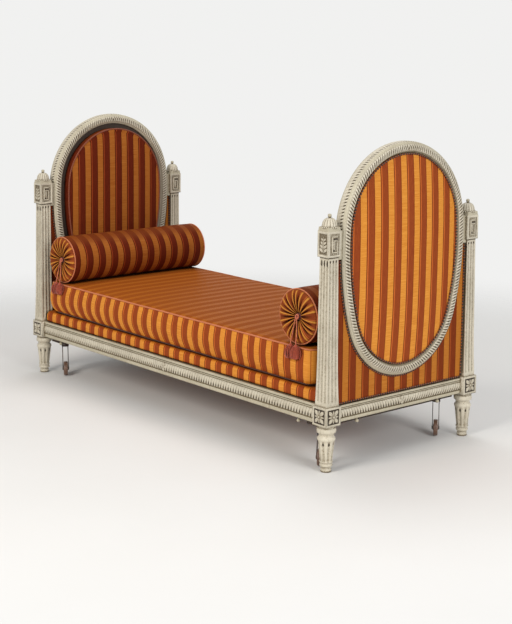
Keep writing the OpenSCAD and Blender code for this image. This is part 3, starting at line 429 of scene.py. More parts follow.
# %% [markdown]
# ## Tassel cords
# Two cords leave the front button of each bolster, part a little on their way down, and pass in front of
# the mattress's edge. The route repeats the joiner's, in millimetres from the middle of the button. Each
# cord is a tube whose skin is pushed in along three spirals, so that it reads as three strands laid
# together.

# %% Make the cords
bolster_x, bolster_end, bolster_z = 802 * mm, 375 * mm, 551.5 * mm
cord_r = 2 * mm
cord_route = [
    (2.6, 0, 0), (2.6, -4, 0), (2.8, -7, -2), (3.2, -9, -6), (4.4, -11, -14), (6.2, -12, -24),
    (8.2, -13, -36), (9.8, -14, -48), (11.2, -15, -60), (12.4, -17, -71), (13.2, -20, -81),
    (13.8, -22, -90), (14, -22.5, -97), (14, -22.5, -102),
]  # fmt: skip


def smooth_route(points, steps):
    """The same route through more points, on one smooth curve."""
    ends = [2 * points[0] - points[1], *points, 2 * points[-1] - points[-2]]
    route = []
    for before, a, b, after in zip(ends, ends[1:], ends[2:], ends[3:]):
        for i in range(steps):
            t = i / steps
            pull = (b - before) * t + (2 * before - 5 * a + 4 * b - after) * t**2
            route.append(a + (pull + (3 * a - before - 3 * b + after) * t**3) / 2)
    return [*route, points[-1]]


def tube(bm, route, radius, sides, closed=False, strands=0, lay=0.0, depth=0.0):
    """A round cord along a route. Strands, their lay in metres a turn and their depth make it a laid rope."""
    count = len(route)
    spots = count if closed else count - 1
    ways = []
    for i in range(count):
        after = route[(i + 1) % count] if closed else route[min(i + 1, count - 1)]
        before = route[i - 1] if closed else route[max(i - 1, 0)]
        ways.append((after - before).normalized())
    side = ways[0].orthogonal().normalized()
    sides_at = []
    for way in ways:
        side = (side - side.dot(way) * way).normalized()
        sides_at.append(side)
    run = [0.0]
    for i in range(spots):
        run.append(run[-1] + (route[(i + 1) % count] - route[i]).length)

    def place(u, v):
        k = round(v * spots)
        i = k % count
        angle = 2 * math.pi * u
        r = radius
        if strands:
            turned_by = strands * (angle + 2 * math.pi * run[k] / lay) / 2
            r *= 1 - depth * (1 - abs(math.cos(turned_by)) ** 0.7)
        return route[i] + r * (math.cos(angle) * sides_at[i] + math.sin(angle) * ways[i].cross(sides_at[i]))

    closed_form(bm, sides, spots, place, lambda u, v: (2 * math.pi * radius * u, run[round(v * spots)]))
    return run[-1]


cords = {}
for end_name, e in bed_ends:
    for side_name, k in (("near", 1), ("far", -1)):
        knot = Vector((e * bolster_x, -bolster_end, bolster_z))
        points = [knot + Vector((k * x, y, z)) * mm for x, y, z in cord_route]
        route = smooth_route(points, 3)
        bm = bmesh.new()
        length = tube(bm, route, cord_r, 12, strands=3, lay=9 * mm, depth=0.18)
        cord = piece(f"tassel_cord_{end_name}_{side_name}", bm, cord_silk, f"bolster_{end_name}")
        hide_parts(f"cord_{end_name}")
        cords[end_name, side_name] = (cord, route, length)
        print(cord.name, "is", round(length / mm, 1), "mm long")

# %% [markdown]
# A tassel is a turned wooden mould under silk, with a skirt of cut threads below it. The mould is a profile
# spun round the cord. The skirt's threads are thin rods in three rings, each a little longer or shorter and
# bent a little further out than its neighbour, so that the skirt looks cut by hand.

# %% Make the tassels
tassel_r, tassel_l, thread_r = 12 * mm, 52 * mm, 1.3 * mm
skirt_rings = ((40, 0.25, 19 * mm), (30, 0.2, 14 * mm), (20, 0.1, 8 * mm))
mould_shares = [
    (0, 0), (0.34, 0), (0.5, 0.05), (0.72, 0.12), (0.8, 0.2), (0.72, 0.28), (0.5, 0.34), (0.56, 0.37),
    (0.6, 0.4), (0.5, 0.43), (0, 0.43),
]  # fmt: skip


def turned(bm, profile, middle, axis, segments):
    """Spins a profile of (radius, height) points about an axis and closes its poles."""
    axis = Vector(axis)
    side = axis.orthogonal().normalized()
    spots = [bm.verts.new(Vector(middle) + r * side + h * axis) for r, h in profile]
    edges = [bm.edges.new(pair) for pair in zip(spots, spots[1:])]
    full = dict(angle=2 * math.pi, steps=segments, use_merge=True)
    bmesh.ops.spin(bm, geom=[*spots, *edges], cent=middle, axis=axis, **full)


def strand(bm, top, out, length, flare, thick):
    """One thread of a skirt: a thin rod that bows outwards and turns in again at its end."""
    for vert in bm.verts:
        vert.tag = True
    rod = dict(cap_ends=True, segments=5, radius1=thick, radius2=thick, depth=1)
    made = bmesh.ops.create_cone(bm, **rod)["verts"]
    edges = list({e for v in made for e in v.link_edges if abs(e.verts[0].co.z - e.verts[1].co.z) > 0.5})
    bmesh.ops.subdivide_edges(bm, edges=edges, cuts=3)
    for vert in [v for v in bm.verts if not v.tag]:
        vert.tag = True
        t = 0.5 - vert.co.z
        swell = 0.6 + 0.9 * t
        flat = Vector((vert.co.x, vert.co.y, 0)) * swell
        vert.co = top + flat + out * flare * math.sin(0.3 + 2.2 * t) ** 0.7 - Vector((0, 0, length * t))


for (end_name, side_name), (cord, route, length) in cords.items():
    bm = bmesh.new()
    top = route[-1]
    turned(bm, [(r * tassel_r, -h * tassel_l) for r, h in mould_shares], top, (0, 0, 1), 20)
    apart = 1 if side_name == "near" else -1
    for ring, (count, inner, flare) in enumerate(skirt_rings):
        for i in range(count):
            angle = 2 * math.pi * (i + 0.5 * ring) / count
            out = Vector((math.cos(angle), math.sin(angle), 0))
            jitter = noise.noise(Vector((i * 1.7, ring * 5.1, top.x * 40)))
            start_at = top + out * tassel_r * inner - Vector((0, 0, tassel_l * (0.1 + 0.02 * ring)))
            wide = flare * (1 + 0.3 * jitter) * (1 - 0.4 * max(0.0, -apart * out.x))
            strand(bm, start_at, out, tassel_l * (0.86 + 0.07 * jitter), wide, thread_r)

    def round_mould(spot, normal):
        off = spot - top
        return math.atan2(off.y, off.x) * tassel_r, off.z

    chart_faces(bm, bm.faces, round_mould)
    tassel = piece(f"tassel_{end_name}_{side_name}", bm, tassel_silk, f"bolster_{end_name}", 60)
    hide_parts(f"tassel_{end_name}")
    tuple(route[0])  # fmt: skip
    print(tassel.name, len(tassel.data.polygons), "faces")

# %% [markdown]
# ## The oval's outline
# Each oval is an egg drawn with four tangent arcs: a wide one on top, a narrower one below, and two flat
# ones at the sides. Everything at the ends of the bed follows this line, a little inside or outside it, so
# one function gives the point and the outward direction at any share of the way round.

# %% Outline of the opening
oval_plane = 963 * mm
oval_width, oval_thick = 42 * mm, 54 * mm
oval_mid_z = 754 * mm
oval_arcs = [
    (0, 870 * mm, 285 * mm, 3.80, 176.20),
    (713.4 * mm, 822.6 * mm, 1000 * mm, 176.20, 196.74),
    (0, 608 * mm, 255 * mm, 196.74, 343.26),
    (-713.4 * mm, 822.6 * mm, 1000 * mm, 343.26, 363.80),
]


def egg_length(grow):
    """The way round the opening's outline, grown by grow."""
    return sum((r + grow) * math.radians(stop - begin) for _, _, r, begin, stop in oval_arcs)


def egg(share, grow):
    """The place (y, z) at a share of the way round, and the direction (y, z) that points outwards there."""
    left = share % 1 * egg_length(grow)
    for cy, cz, r, begin, stop in oval_arcs:
        span = (r + grow) * math.radians(stop - begin)
        if left <= span:
            break
        left -= span
    angle = math.radians(begin) + left / (r + grow)
    out = (math.cos(angle), math.sin(angle))
    return cy + (r + grow) * out[0], cz + (r + grow) * out[1], out


print("the opening is", round(egg_length(0), 3), "m round")

# %% [markdown]
# ## The outer panels
# On the outside of each end the silk is stretched over a thin stuffing and nailed into a rebate of the
# frame. The form is a dome on the egg's outline: rings that shrink to the middle while they rise. The nails
# pull small dimples into the rim, about one for every second nail, and these keep the edge from looking
# like plastic. The stripes are straight in the cloth, so they bow in the picture only because the dome
# does.

# %% Make the outer panels
end_gold_at = -18 * mm
seat_gold_at = 35.5 * mm


def end_chart(spot):
    """The silk's own map on a surface that stands across the bed."""
    return spot.y - end_gold_at + stripe_pitch / 2, spot.z


def shrunk(share, grow, k):
    """A point of the egg, drawn in towards its middle by a factor."""
    y, z, _ = egg(share, grow)
    return y * k, oval_mid_z + (z - oval_mid_z) * k


def outer_panel(end_name, e):
    """The domed silk on the outside of one end."""
    back_x, edge_x, crown, tuck = 968 * mm, 984 * mm, 14 * mm, 1 * mm
    dimples, dimple_deep, slack_deep, wall = 80, 1.1 * mm, 0.8 * mm, 0.08
    rim_x = edge_x - tuck

    def place(u, v):
        if v < wall:
            y, z = shrunk(u, -tuck, 1)
            return Vector((e * (back_x + (rim_x - back_x) * v / wall), y, z))
        k = 1 - (v - wall) / (1 - wall)
        y, z = shrunk(u, -tuck, k)
        pull = dimple_deep * (0.5 + 0.5 * math.cos(2 * math.pi * dimples * u)) * math.exp(-(1 - k) * 16)
        slack = slack_deep * noise.noise(Vector((y * 9, z * 5, e * 3.0))) * (1 - k**6)
        return Vector((e * (rim_x + (crown + tuck) * (1 - k**2.3) - pull + slack), y, z))

    bm = bmesh.new()
    grid_form(bm, 360, 40, place, lambda u, v: end_chart(place(u, v)))
    panel = piece(f"{end_name}_outer_silk", bm, silk, "frame", 80)
    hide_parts(f"{end_name}_outer_panel")
    return panel


for end_name, e in bed_ends:
    print(outer_panel(end_name, e).name)

# %% [markdown]
# ## Stuffing with the cloth simulation
# A sewn cover keeps its seams where they are and swells between them. `plump` does that: the seams are
# pinned, the cloth is blown up a little from inside for twenty frames, and no point may move further than a
# cap. The result is written back into the mesh, so the cover stays an ordinary mesh with its own weave map.

# %% Helper for stuffed covers
stuffing_frames = 20


def plump(thing, held, pressure, cap, slack=0.0):
    """Blows a cover up between its seams. held(place) is true at the seams."""
    mesh = thing.data
    before = [v.co.copy() for v in mesh.vertices]
    seams = thing.vertex_groups.new(name="seams")
    seams.add([v.index for v in mesh.vertices if held(v.co)], 1.0, "REPLACE")
    cloth = thing.modifiers.new("stuffing", "CLOTH")
    cloth.settings.vertex_group_mass = "seams"
    cloth.settings.use_pressure = True
    cloth.settings.uniform_pressure_force = pressure
    cloth.settings.shrink_min = slack
    cloth.settings.quality = 3
    cloth.settings.effector_weights.gravity = 0
    cloth.point_cache.frame_start = 1
    cloth.point_cache.frame_end = stuffing_frames
    for step in range(1, stuffing_frames + 1):
        scene.frame_set(step)
    blown = thing.evaluated_get(bpy.context.evaluated_depsgraph_get()).data
    after = [v.co.copy() for v in blown.vertices]
    thing.modifiers.remove(cloth)
    thing.vertex_groups.remove(seams)
    scene.frame_set(1)
    most = 0.0
    for vert, old, new in zip(mesh.vertices, before, after):
        way = new - old
        far = way.length
        if far:
            vert.co = old + way * (cap * math.tanh(far / cap) / far)
            most = max(most, (vert.co - old).length)
    print(thing.name, "swelled by up to", round(most / mm, 1), "mm")


def finer(thing):
    """Rounds a cover's facets: every edge is cut once and its middle moved out to the curve."""
    bm = bmesh.new()
    bm.from_mesh(thing.data)
    bmesh.ops.subdivide_edges(bm, edges=bm.edges, cuts=1, smooth=0.8, use_grid_fill=True)
    bm.to_mesh(thing.data)
    bm.free()
    thing.data.shade_smooth()
    thing.data.set_sharp_from_angle(angle=math.radians(70))


# %% [markdown]
# ## The inner pads
# Inside, each oval holds a boxed pad: a border strip stands off the board, and a crowned face is sewn to it
# with a piping. In the picture the border is plain rust, cut from between two gold stripes, and only the
# face is striped. The face and the border are two grids that meet at the piping.

# %% Make the inner pads
pad_inset, piping_r = 25 * mm, 3.2 * mm
pad_face_x, pad_back_x, pad_crown = 919 * mm, 957.5 * mm, 3.5 * mm


def inner_pad(end_name, e):
    """The boxed pad on the inside of one end, with its piping."""

    def face(u, v):
        k = 1 - v
        y, z = shrunk(u, -pad_inset, k)
        return Vector((e * (pad_face_x - pad_crown * (1 - k**2.4)), y, z))

    def border(u, v):
        y, z, out = egg(u, -pad_inset)
        bulge = 1.6 * mm * math.sin(math.pi * v) + 0.4 * mm * noise.noise(Vector((y * 20, z * 20, v * 2)))
        x = pad_back_x + (pad_face_x - pad_back_x) * v
        return Vector((e * x, y + out[0] * bulge, z + out[1] * bulge))

    bm = bmesh.new()
    grid_form(bm, 200, 24, face, lambda u, v: end_chart(face(u, v)))
    rust_strip = 0.06 * stripe_pitch
    grid_form(bm, 200, 6, border, lambda u, v: (rust_strip * (v - 0.3), egg_length(-pad_inset) * u))
    # The pad takes the silk's copy in painted shade, and its border by the frame goes nearly black, painted
    # shade too.
    pad = piece(f"{end_name}_inner_silk", bm, inner_silk, "frame", 80)
    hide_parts(f"{end_name}_inner_pad")
    plump(pad, lambda spot: abs(spot.x) > pad_face_x - 0.4 * mm, 2.0, 3.5 * mm)
    finer(pad)
    return pad


def oval_route(x, grow, count):
    """Points once round the oval at one depth."""
    return [Vector((x, *egg(i / count, grow)[:2])) for i in range(count)]


pad_cords = bmesh.new()
for end_name, e in bed_ends:
    print(inner_pad(end_name, e).name)
    tube(pad_cords, oval_route(e * pad_face_x, -pad_inset, 260), piping_r, 10, closed=True)
pad_piping = piece("pad_piping_silk", pad_cords, brown_piping, "frame")
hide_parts("pad_piping")

# %% [markdown]
# ## The silk between posts and oval
# Under each oval a padded panel fills the space down to the end rail. Its outline is the joiner's, with an
# egg cut out of its top, so the piece starts as a copy of that solid. A voxel remesh gives it an even skin,
# and a few rounds of smoothing draw the edges in as nails do. The platform's cover is made the same way
# from the part of its solid that stands above the rails.

# %% Soft copies of solids


def soft_copy(name, node, voxel, rounds, chart, keep_above=None):
    """A bmesh with an even skin, smoothed, from a copy of a solid."""
    bm = bmesh.new()
    bm.from_mesh(frame["nodes"][node].data)
    bmesh.ops.remove_doubles(bm, verts=bm.verts, dist=0.01 * mm)
    if keep_above is not None:
        cut = dict(dist=0.001 * mm, plane_co=(0, 0, keep_above), plane_no=(0, 0, 1), clear_inner=True)
        rim = bmesh.ops.bisect_plane(bm, geom=[*bm.verts, *bm.edges, *bm.faces], **cut)["geom_cut"]
        bmesh.ops.holes_fill(bm, edges=[g for g in rim if isinstance(g, bmesh.types.BMEdge)], sides=0)
    rough = bpy.data.meshes.new(name)
    bm.to_mesh(rough)
    bm.free()
    holder = bpy.data.objects.new(name, rough)
    scene.collection.objects.link(holder)
    skin = holder.modifiers.new("skin", "REMESH")
    skin.mode = "VOXEL"
    skin.voxel_size = voxel
    even = bpy.data.meshes.new_from_object(holder.evaluated_get(bpy.context.evaluated_depsgraph_get()))
    bpy.data.objects.remove(holder)
    bm = bmesh.new()
    bm.from_mesh(even)
    axes = dict(use_axis_x=True, use_axis_y=True, use_axis_z=True)
    for _ in range(rounds):
        bmesh.ops.smooth_vert(bm, verts=bm.verts, factor=0.5, **axes)
    chart_faces(bm, bm.faces, chart)
    return bm


def stood_chart(spot, normal):
    """The silk's map on the panels below the ovals."""
    return end_chart(spot)


def fall_chart(spot, normal):
    """The silk's map on a seat: stripes run across the bed, on the top and down the front."""
    if abs(normal.x) > 0.75:
        return end_chart(spot)
    return spot.x - seat_gold_at + stripe_pitch / 2, spot.y if abs(normal.z) > 0.7 else spot.z


# %% Make the spandrels
for end_name, e in bed_ends:
    bm = soft_copy(f"{end_name}_lower", f"{end_name}_spandrel", 5 * mm, 5, stood_chart)
    # The spandrels take the shaded copy of the silk: painted shade, as they stand back from the frame.
    lower_panel = piece(f"{end_name}_spandrel_silk", bm, shaded_silk, "frame", 80)
    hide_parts(f"{end_name}_spandrel")
    print(lower_panel.name, len(lower_panel.data.polygons), "faces")

# %% [markdown]
# The platform is a sprung seat in a silk cover. Only the part above the rails shows. Its top edge is a soft
# roll, which turns the stripes upwards, where the silk's painted sheen makes them fade. Slow waves along the
# front keep the roll from being dead straight.

# %% Make the platform
rail_top = 247 * mm
cover_half, roll_reach, shown_high = 385 * mm, 40 * mm, 50 * mm
bm = soft_copy("platform_silk", "platform_cover", 8 * mm, 6, fall_chart, keep_above=rail_top)
for vert in bm.verts:
    edge = max(0.0, 1 - (cover_half - abs(vert.co.y)) / roll_reach)
    swell = noise.noise(Vector((vert.co.x * 7, vert.co.y * 2, 1.3)))
    vert.co.z += 1.6 * mm * swell * min(1.0, max(0.0, (vert.co.z - rail_top) / shown_high))
    ripple = noise.noise(Vector((vert.co.x * 12, 4.2, vert.co.z * 8)))
    vert.co.y += math.copysign(1.2 * mm, vert.co.y) * edge * ripple
# The seat's silk tones its top darker as painted light, and paints the groove under the mattress dark as
# painted shade.
platform = piece("platform_silk", bm, seat_silk, "frame", 80)
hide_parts("platform_cover", "platform_stuffing")
print(platform.name, len(platform.data.polygons), "faces")

# %% [markdown]
# ## The mattress
# The mattress is boxed: a top, a bottom and a border, sewn together with piping in both seams. It starts as
# a cube with rounded corners, cut into a grid by planes. The border gets a belly, the top a crown, and the
# lower seam is turned under, where its piping is painted darker, as painted shade. Then the seams are pinned
# and the cover is stuffed, so that small puckers form where the cloth is held.

# %% Make the mattress
mattress_low, mattress_high = 302.3 * mm, 438.3 * mm
mattress_x, mattress_y, mattress_corner = 886 * mm, 383.5 * mm, 31 * mm
crown_reach = 246.4 * mm
turn_under, turn_reach, mattress_belly, mattress_crown = 17 * mm, 9 * mm, 10 * mm, 6 * mm
near = 0.1 * mm

bm = bmesh.new()
bmesh.ops.create_cube(bm, size=2)
bmesh.ops.scale(bm, vec=(mattress_x, mattress_y, (mattress_high - mattress_low) / 2), verts=bm.verts)
bmesh.ops.translate(bm, vec=(0, 0, (mattress_high + mattress_low) / 2), verts=bm.verts)
upright = [e for e in bm.edges if abs(e.verts[0].co.z - e.verts[1].co.z) > 10 * mm]
bmesh.ops.bevel(
    bm, geom=upright, offset=mattress_corner, offset_type="OFFSET", affect="EDGES", segments=6,
    profile=0.5, material=-1,
)  # fmt: skip


def slice_along(bm, axis, spots):
    """Cuts the whole mesh with planes across one axis."""
    for spot in spots:
        where = Vector((0, 0, 0))
        where[axis] = spot
        way = Vector((0, 0, 0))
        way[axis] = 1
        everything = [*bm.verts, *bm.edges, *bm.faces]
        bmesh.ops.bisect_plane(bm, geom=everything, dist=0.01 * mm, plane_co=where, plane_no=way)


cell = 14 * mm
slice_along(bm, 0, [cell * i for i in range(-61, 62)])
slice_along(bm, 1, [cell * i for i in range(-25, 26)])
slice_along(bm, 2, [mattress_low + (mattress_high - mattress_low) * i / 9 for i in range(1, 9)])
bm.normal_update()
chart_faces(bm, bm.faces, fall_chart)
bmesh.ops.triangulate(bm, faces=[f for f in bm.faces if len(f.verts) > 4])
mattress = piece("mattress_silk", bm, seat_silk, "mattress", 70)
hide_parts("mattress")


def at_seam(spot):
    """True on the two seams, where the border meets the top and the bottom."""
    inside = abs(spot.x) < mattress_x - near and abs(spot.y) < mattress_y - near
    round_x = abs(spot.x) - (mattress_x - mattress_corner)
    round_y = abs(spot.y) - (mattress_y - mattress_corner)
    if round_x > 0 and round_y > 0:
        inside = math.hypot(round_x, round_y) < mattress_corner - 0.5 * mm
    return not inside and (spot.z > mattress_high - near or spot.z < mattress_low + near)


for vert in mattress.data.vertices:
    spot = vert.co
    to_edge = min(mattress_x - abs(spot.x), mattress_y - abs(spot.y), crown_reach)
    if spot.z > mattress_high - near and to_edge > 0:
        spot.z += mattress_crown * (1 - (1 - to_edge / crown_reach) ** 2)
    rise = (spot.z - mattress_low) / (mattress_high - mattress_low)
    belly = mattress_belly * math.sin(math.pi * min(1.0, max(0.0, rise)))
    under = turn_under * math.exp((mattress_low - spot.z) / turn_reach) - belly
    spot.x *= 1 - under / mattress_x
    spot.y *= 1 - under / mattress_y
plump(mattress, lambda spot: at_seam(spot) or spot.z < mattress_low + near, 4.0, 6 * mm, slack=-0.004)
finer(mattress)
print(mattress.name, len(mattress.data.polygons), "faces")


def rounded_route(z, half_x, half_y, corner):
    """Once round a rectangle with round corners."""
    route = []
    for quarter in range(4):
        cx = (half_x - corner) * (1 if quarter in (0, 3) else -1)
        cy = (half_y - corner) * (1 if quarter < 2 else -1)
        for i in range(9):
            turned_by = math.radians(90 * (quarter + i / 8))
            route.append(Vector((cx + corner * math.cos(turned_by), cy + corner * math.sin(turned_by), z)))
    dense = []
    for a, b in zip(route, [*route[1:], route[0]]):
        parts = max(1, round((b - a).length / (12 * mm)))
        dense += [a.lerp(b, i / parts) for i in range(parts)]
    return dense


for place, cloth, z, inside in (
    ("lower", shaded_piping, mattress_low + 0.6 * mm, turn_under - 2 * mm),
    ("upper", piping_silk, mattress_high, 0.0),
):
    bm = bmesh.new()
    route = rounded_route(z, mattress_x - inside, mattress_y - inside, mattress_corner)
    for spot in route:
        spot.z += 0.8 * mm * noise.noise(Vector((spot.x * 6, spot.y * 6, z * 30)))
    tube(bm, route, piping_r, 10, closed=True)
    mattress_piping = piece(f"mattress_piping_{place}", bm, cloth, "mattress")
    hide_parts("mattress_piping")

# %% [markdown]
# ## The bolsters
# A bolster is a tube of silk over horsehair. At each end the cloth is gathered to a covered button, so the
# stripes that run round the body turn into spokes on the ends, and the cloth stands in pleats with deep
# folds between them. The body and the two ends are three grids with the same number of steps round, so that
# their rims meet under the piping ring. The underside is flat where it lies on the mattress. In front of
# the front button the tassel cord is tied in a loop.

# %% Make the bolsters
bolster_r, ring_y, pleats = 107 * mm, 370.7 * mm, 20
steps_round = 176
pleat_deep, end_dome, button_well = 13 * mm, 18 * mm, 9 * mm
end_ring_r, end_cord_r = 103.2 * mm, 2.8 * mm
button_r, button_y, button_high = 15 * mm, 366 * mm, 9 * mm
loop_r, loop_y, loop_cord_r = 7.5 * mm, 379.5 * mm, 3.6 * mm
loop_lay = 2 * math.pi * loop_r / 3


def bolster(end_name, e):
    """One bolster's cover."""
    middle = Vector((e * bolster_x, 0, bolster_z))

    def body(u, v):
        angle = 2 * math.pi * u
        y = ring_y * (2 * v - 1)
        ends = 1 - abs(2 * v - 1)
        r = bolster_r - 4 * mm * math.exp(-ends * 45)
        wave = noise.noise(Vector((math.cos(angle) * 2.2, y * 9, math.sin(angle) * 2.2 + e)))
        fine = noise.noise(Vector((math.cos(angle) * 5, y * 28 + 7, math.sin(angle) * 5)))
        r += (1.0 * mm * wave + 0.35 * mm * fine) * (1 - math.exp(-ends * 30)) - 1.0 * mm
        spot = middle + Vector((r * math.cos(angle), y, r * math.sin(angle)))
        spot.z = max(spot.z, bolster_z - bolster_r + 0.3 * mm)
        return spot

    def bent(u, side):
        angle = 2 * math.pi * u
        sway = noise.noise(Vector((math.cos(angle) * 2.4, math.sin(angle) * 2.4, side * 2 + e)))
        return angle + 0.13 * sway

    def spoke(u, side):
        turns = bent(u, side) * pleats / 2 / math.pi
        off = turns - round(turns)
        return stripe_pitch * (round(turns) + 0.5 + math.copysign(0.5 * abs(2 * off) ** 0.6, off))

    def cap(side):
        def place(u, v):
            angle = 2 * math.pi * u
            r = (bolster_r - 5 * mm) * (1 - v)
            share = 1 - v
            fold = 1 - abs(math.cos(bent(u, side) * pleats / 2)) ** 0.6
            uneven = 1 + 0.55 * noise.noise(Vector((math.cos(angle) * 4, math.sin(angle) * 4, e * 5 + side)))
            deep = pleat_deep * uneven * math.sin(math.pi * min(1.0, share * 0.98 + 0.02)) ** 0.7
            dome = end_dome * math.sin(math.pi * share**1.6) ** 0.5
            y = ring_y + (dome - button_well * math.exp(-((share / 0.17) ** 2))) - deep * fold
            return middle + Vector((r * math.cos(angle), side * y, r * math.sin(angle)))

        return place

    def wound(u, v):
        return ring_y * (2 * v - 1) - end_gold_at, bolster_r * 2 * math.pi * u

    bm = bmesh.new()
    grid_form(bm, steps_round, 84, body, wound)
    for side in (-1, 1):
        grid_form(bm, steps_round, 22, cap(side), lambda u, v: (spoke(u, side), bolster_r * (1 - v)))
    # The bolster takes the gathered copy: painted shade on its body, less on its ends, and dark in its folds.
    made = piece(f"bolster_{end_name}_silk", bm, gathered_silk, f"bolster_{end_name}", 80)
    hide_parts(f"bolster_{end_name}")
    return made


def bolster_trim(end_name, e):
    """The piping rings, the covered buttons and the cord's loop of one bolster."""
    turns = [2 * math.pi * i / 96 for i in range(96)]
    bm = bmesh.new()
    for side in (-1, 1):
        middle = Vector((e * bolster_x, side * (ring_y + 0.6 * mm), bolster_z))
        ring = [middle + end_ring_r * Vector((math.cos(a), 0, math.sin(a))) for a in turns]
        tube(bm, ring, end_cord_r, 10, closed=True)
    rings = piece(f"bolster_{end_name}_piping", bm, piping_silk, f"bolster_{end_name}")
    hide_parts(f"bolster_{end_name}_trim")
    bm = bmesh.new()
    weave_layer(bm)
    button_shares = [(0, 1.0), (0.3, 0.97), (0.6, 0.86), (0.85, 0.62), (1, 0.3), (0.98, 0.1), (0.8, 0)]
    for side in (-1, 1):
        profile = [(r * button_r, h * button_high) for r, h in button_shares]
        turned(bm, profile, (e * bolster_x, side * button_y, bolster_z), (0, side, 0), 28)
    piece(f"bolster_{end_name}_buttons", bm, button_silk, f"bolster_{end_name}")
    bm = bmesh.new()
    middle = Vector((e * bolster_x, -loop_y, bolster_z))
    loop = [middle + loop_r * Vector((math.cos(a), 0.25 * math.sin(a), math.sin(a))) for a in turns[::4]]
    tube(bm, loop, loop_cord_r, 14, closed=True, strands=3, lay=loop_lay, depth=0.2)
    piece(f"bolster_{end_name}_knot", bm, cord_silk, f"bolster_{end_name}")


def held_on_bolster(spot):
    """True at the gathered ends and on the underside."""
    return abs(spot.y) > ring_y - 1 * mm or spot.z < bolster_z - bolster_r + 3 * mm


for end_name, e in bed_ends:
    made = bolster(end_name, e)
    bolster_trim(end_name, e)
    plump(made, held_on_bolster, 1.5, 3 * mm)
    finer(made)
    print(made.name, len(made.data.polygons), "faces")

# %% [markdown]
# ## Old paint
# The joinery is painted a stone white, rubbed thin on the edges, and glazed with umber that has stayed in
# every hollow. That glaze is what makes the carving readable, so it follows the shape: Ambient Occlusion
# finds the hollows, and a noise breaks its edge. Soft upright streaks, small stains and chips come on top.
# The group below only mixes colours and heights, and each paint gives it its own numbers.

# %% Paint group
paint, start, end = group(
    "old paint",
    [
        ("Open", "Float", 1.0), ("Base", "Color", (1, 1, 1, 1)), ("Glaze", "Color", (0, 0, 0, 1)),
        ("Bare", "Color", (0, 0, 0, 1)), ("Wear", "Float", 0.5),
    ],
    [("Color", "Color"), ("Roughness", "Float"), ("Height", "Float")],
)  # fmt: skip
spot = put(paint, "TexCoord").outputs["Object"]
cloud = cloudy(paint, spot, 9.0, 4.0)
speckle = cloudy(paint, spot, 150.0, 5.0, Roughness=0.65)
grit = cloudy(paint, spot, 520.0, 3.0)
brushed = put(paint, "Mapping", {"Vector": spot, "Scale": (14.0, 14.0, 2.2)}, vector_type="POINT")
streak = cloudy(paint, brushed.outputs[0], 9.0, 5.0)
tint = blend(paint, ramp(paint, cloud, 0.3, 0.72), start["Base"], start["Glaze"])
worn = blend(paint, 0.22, start["Base"], tint)
worn = blend(paint, ramp(paint, streak, 0.52, 0.8, 0.0, 0.28), worn, start["Glaze"])
worn = blend(paint, ramp(paint, speckle, 0.56, 0.72, 0.0, 0.42), worn, start["Glaze"])
closed = calc(paint, "SUBTRACT", 1.0, start["Open"])
uneven = calc(paint, "MULTIPLY_ADD", calc(paint, "SUBTRACT", speckle, 0.5), 0.5, closed)
worn = blend(paint, ramp(paint, uneven, 0.08, 0.40, 0.0, 0.92), worn, start["Glaze"])
chips = put(paint, "TexVoronoi", {"Vector": spot, "Scale": 60.0, "Randomness": 1.0}).outputs["Distance"]
chipped = calc(paint, "MULTIPLY", ramp(paint, chips, 0.10, 0.13, 1.0, 0.0), ramp(paint, cloud, 0.55, 0.62))
chipped = calc(paint, "MULTIPLY", chipped, start["Wear"])
worn = blend(paint, chipped, worn, start["Bare"])
paint.links.new(worn, end["Color"])
paint.links.new(ramp(paint, speckle, 0.3, 0.7, 0.42, 0.62), end["Roughness"])
height = calc(paint, "MULTIPLY_ADD", grit, 0.35, calc(paint, "MULTIPLY", speckle, 0.65))
paint.links.new(calc(paint, "SUBTRACT", height, chipped), end["Height"])


# carved_shade_tone is painted shade for the deep floors of carving.
glaze_tone, bare_tone, carved_shade_tone = srgb(104, 88, 60), srgb(96, 66, 38), srgb(44, 33, 22)
glaze_reach = 12 * mm


def painted(name, base, wear, carved=False):
    """The glazed paint. Where it is carved, the form's own depth darkens it as well, as painted shade."""
    material, tree, shader = new_material(name)
    hollow = openness(tree, glaze_reach)
    if carved:
        deep = weave_map(tree)[0]
        hollow = calc(tree, "MULTIPLY", hollow, ramp(tree, deep, 0.15, 1.0, 1.0, 0.45))
    values = {"Open": hollow, "Base": base, "Glaze": glaze_tone, "Bare": bare_tone, "Wear": wear}
    made = place_group(tree, paint, values)
    tone = made["Color"]
    if carved:
        tone = blend(tree, ramp(tree, deep, 0.45, 0.95, 0.0, 0.93), tone, carved_shade_tone)
    fill(tree, shader.inputs, {"Base Color": tone, "Roughness": made["Roughness"], "Specular IOR Level": 0.4})
    bumped(tree, shader, made["Height"], 0.25, 0.3 * mm)
    return material


stone_white = painted("stone white paint", srgb(188, 179, 155), 0.8)

# %% [markdown]
# The parts that only the joiner sees are bare beech: the bearers, the slats and the pegs. The boards that
# carry the casters and those behind the pads are given a dark brown, as painted shade in the gaps there.
# The grain is a stretched noise cut into rings, with pores as short dark dashes.

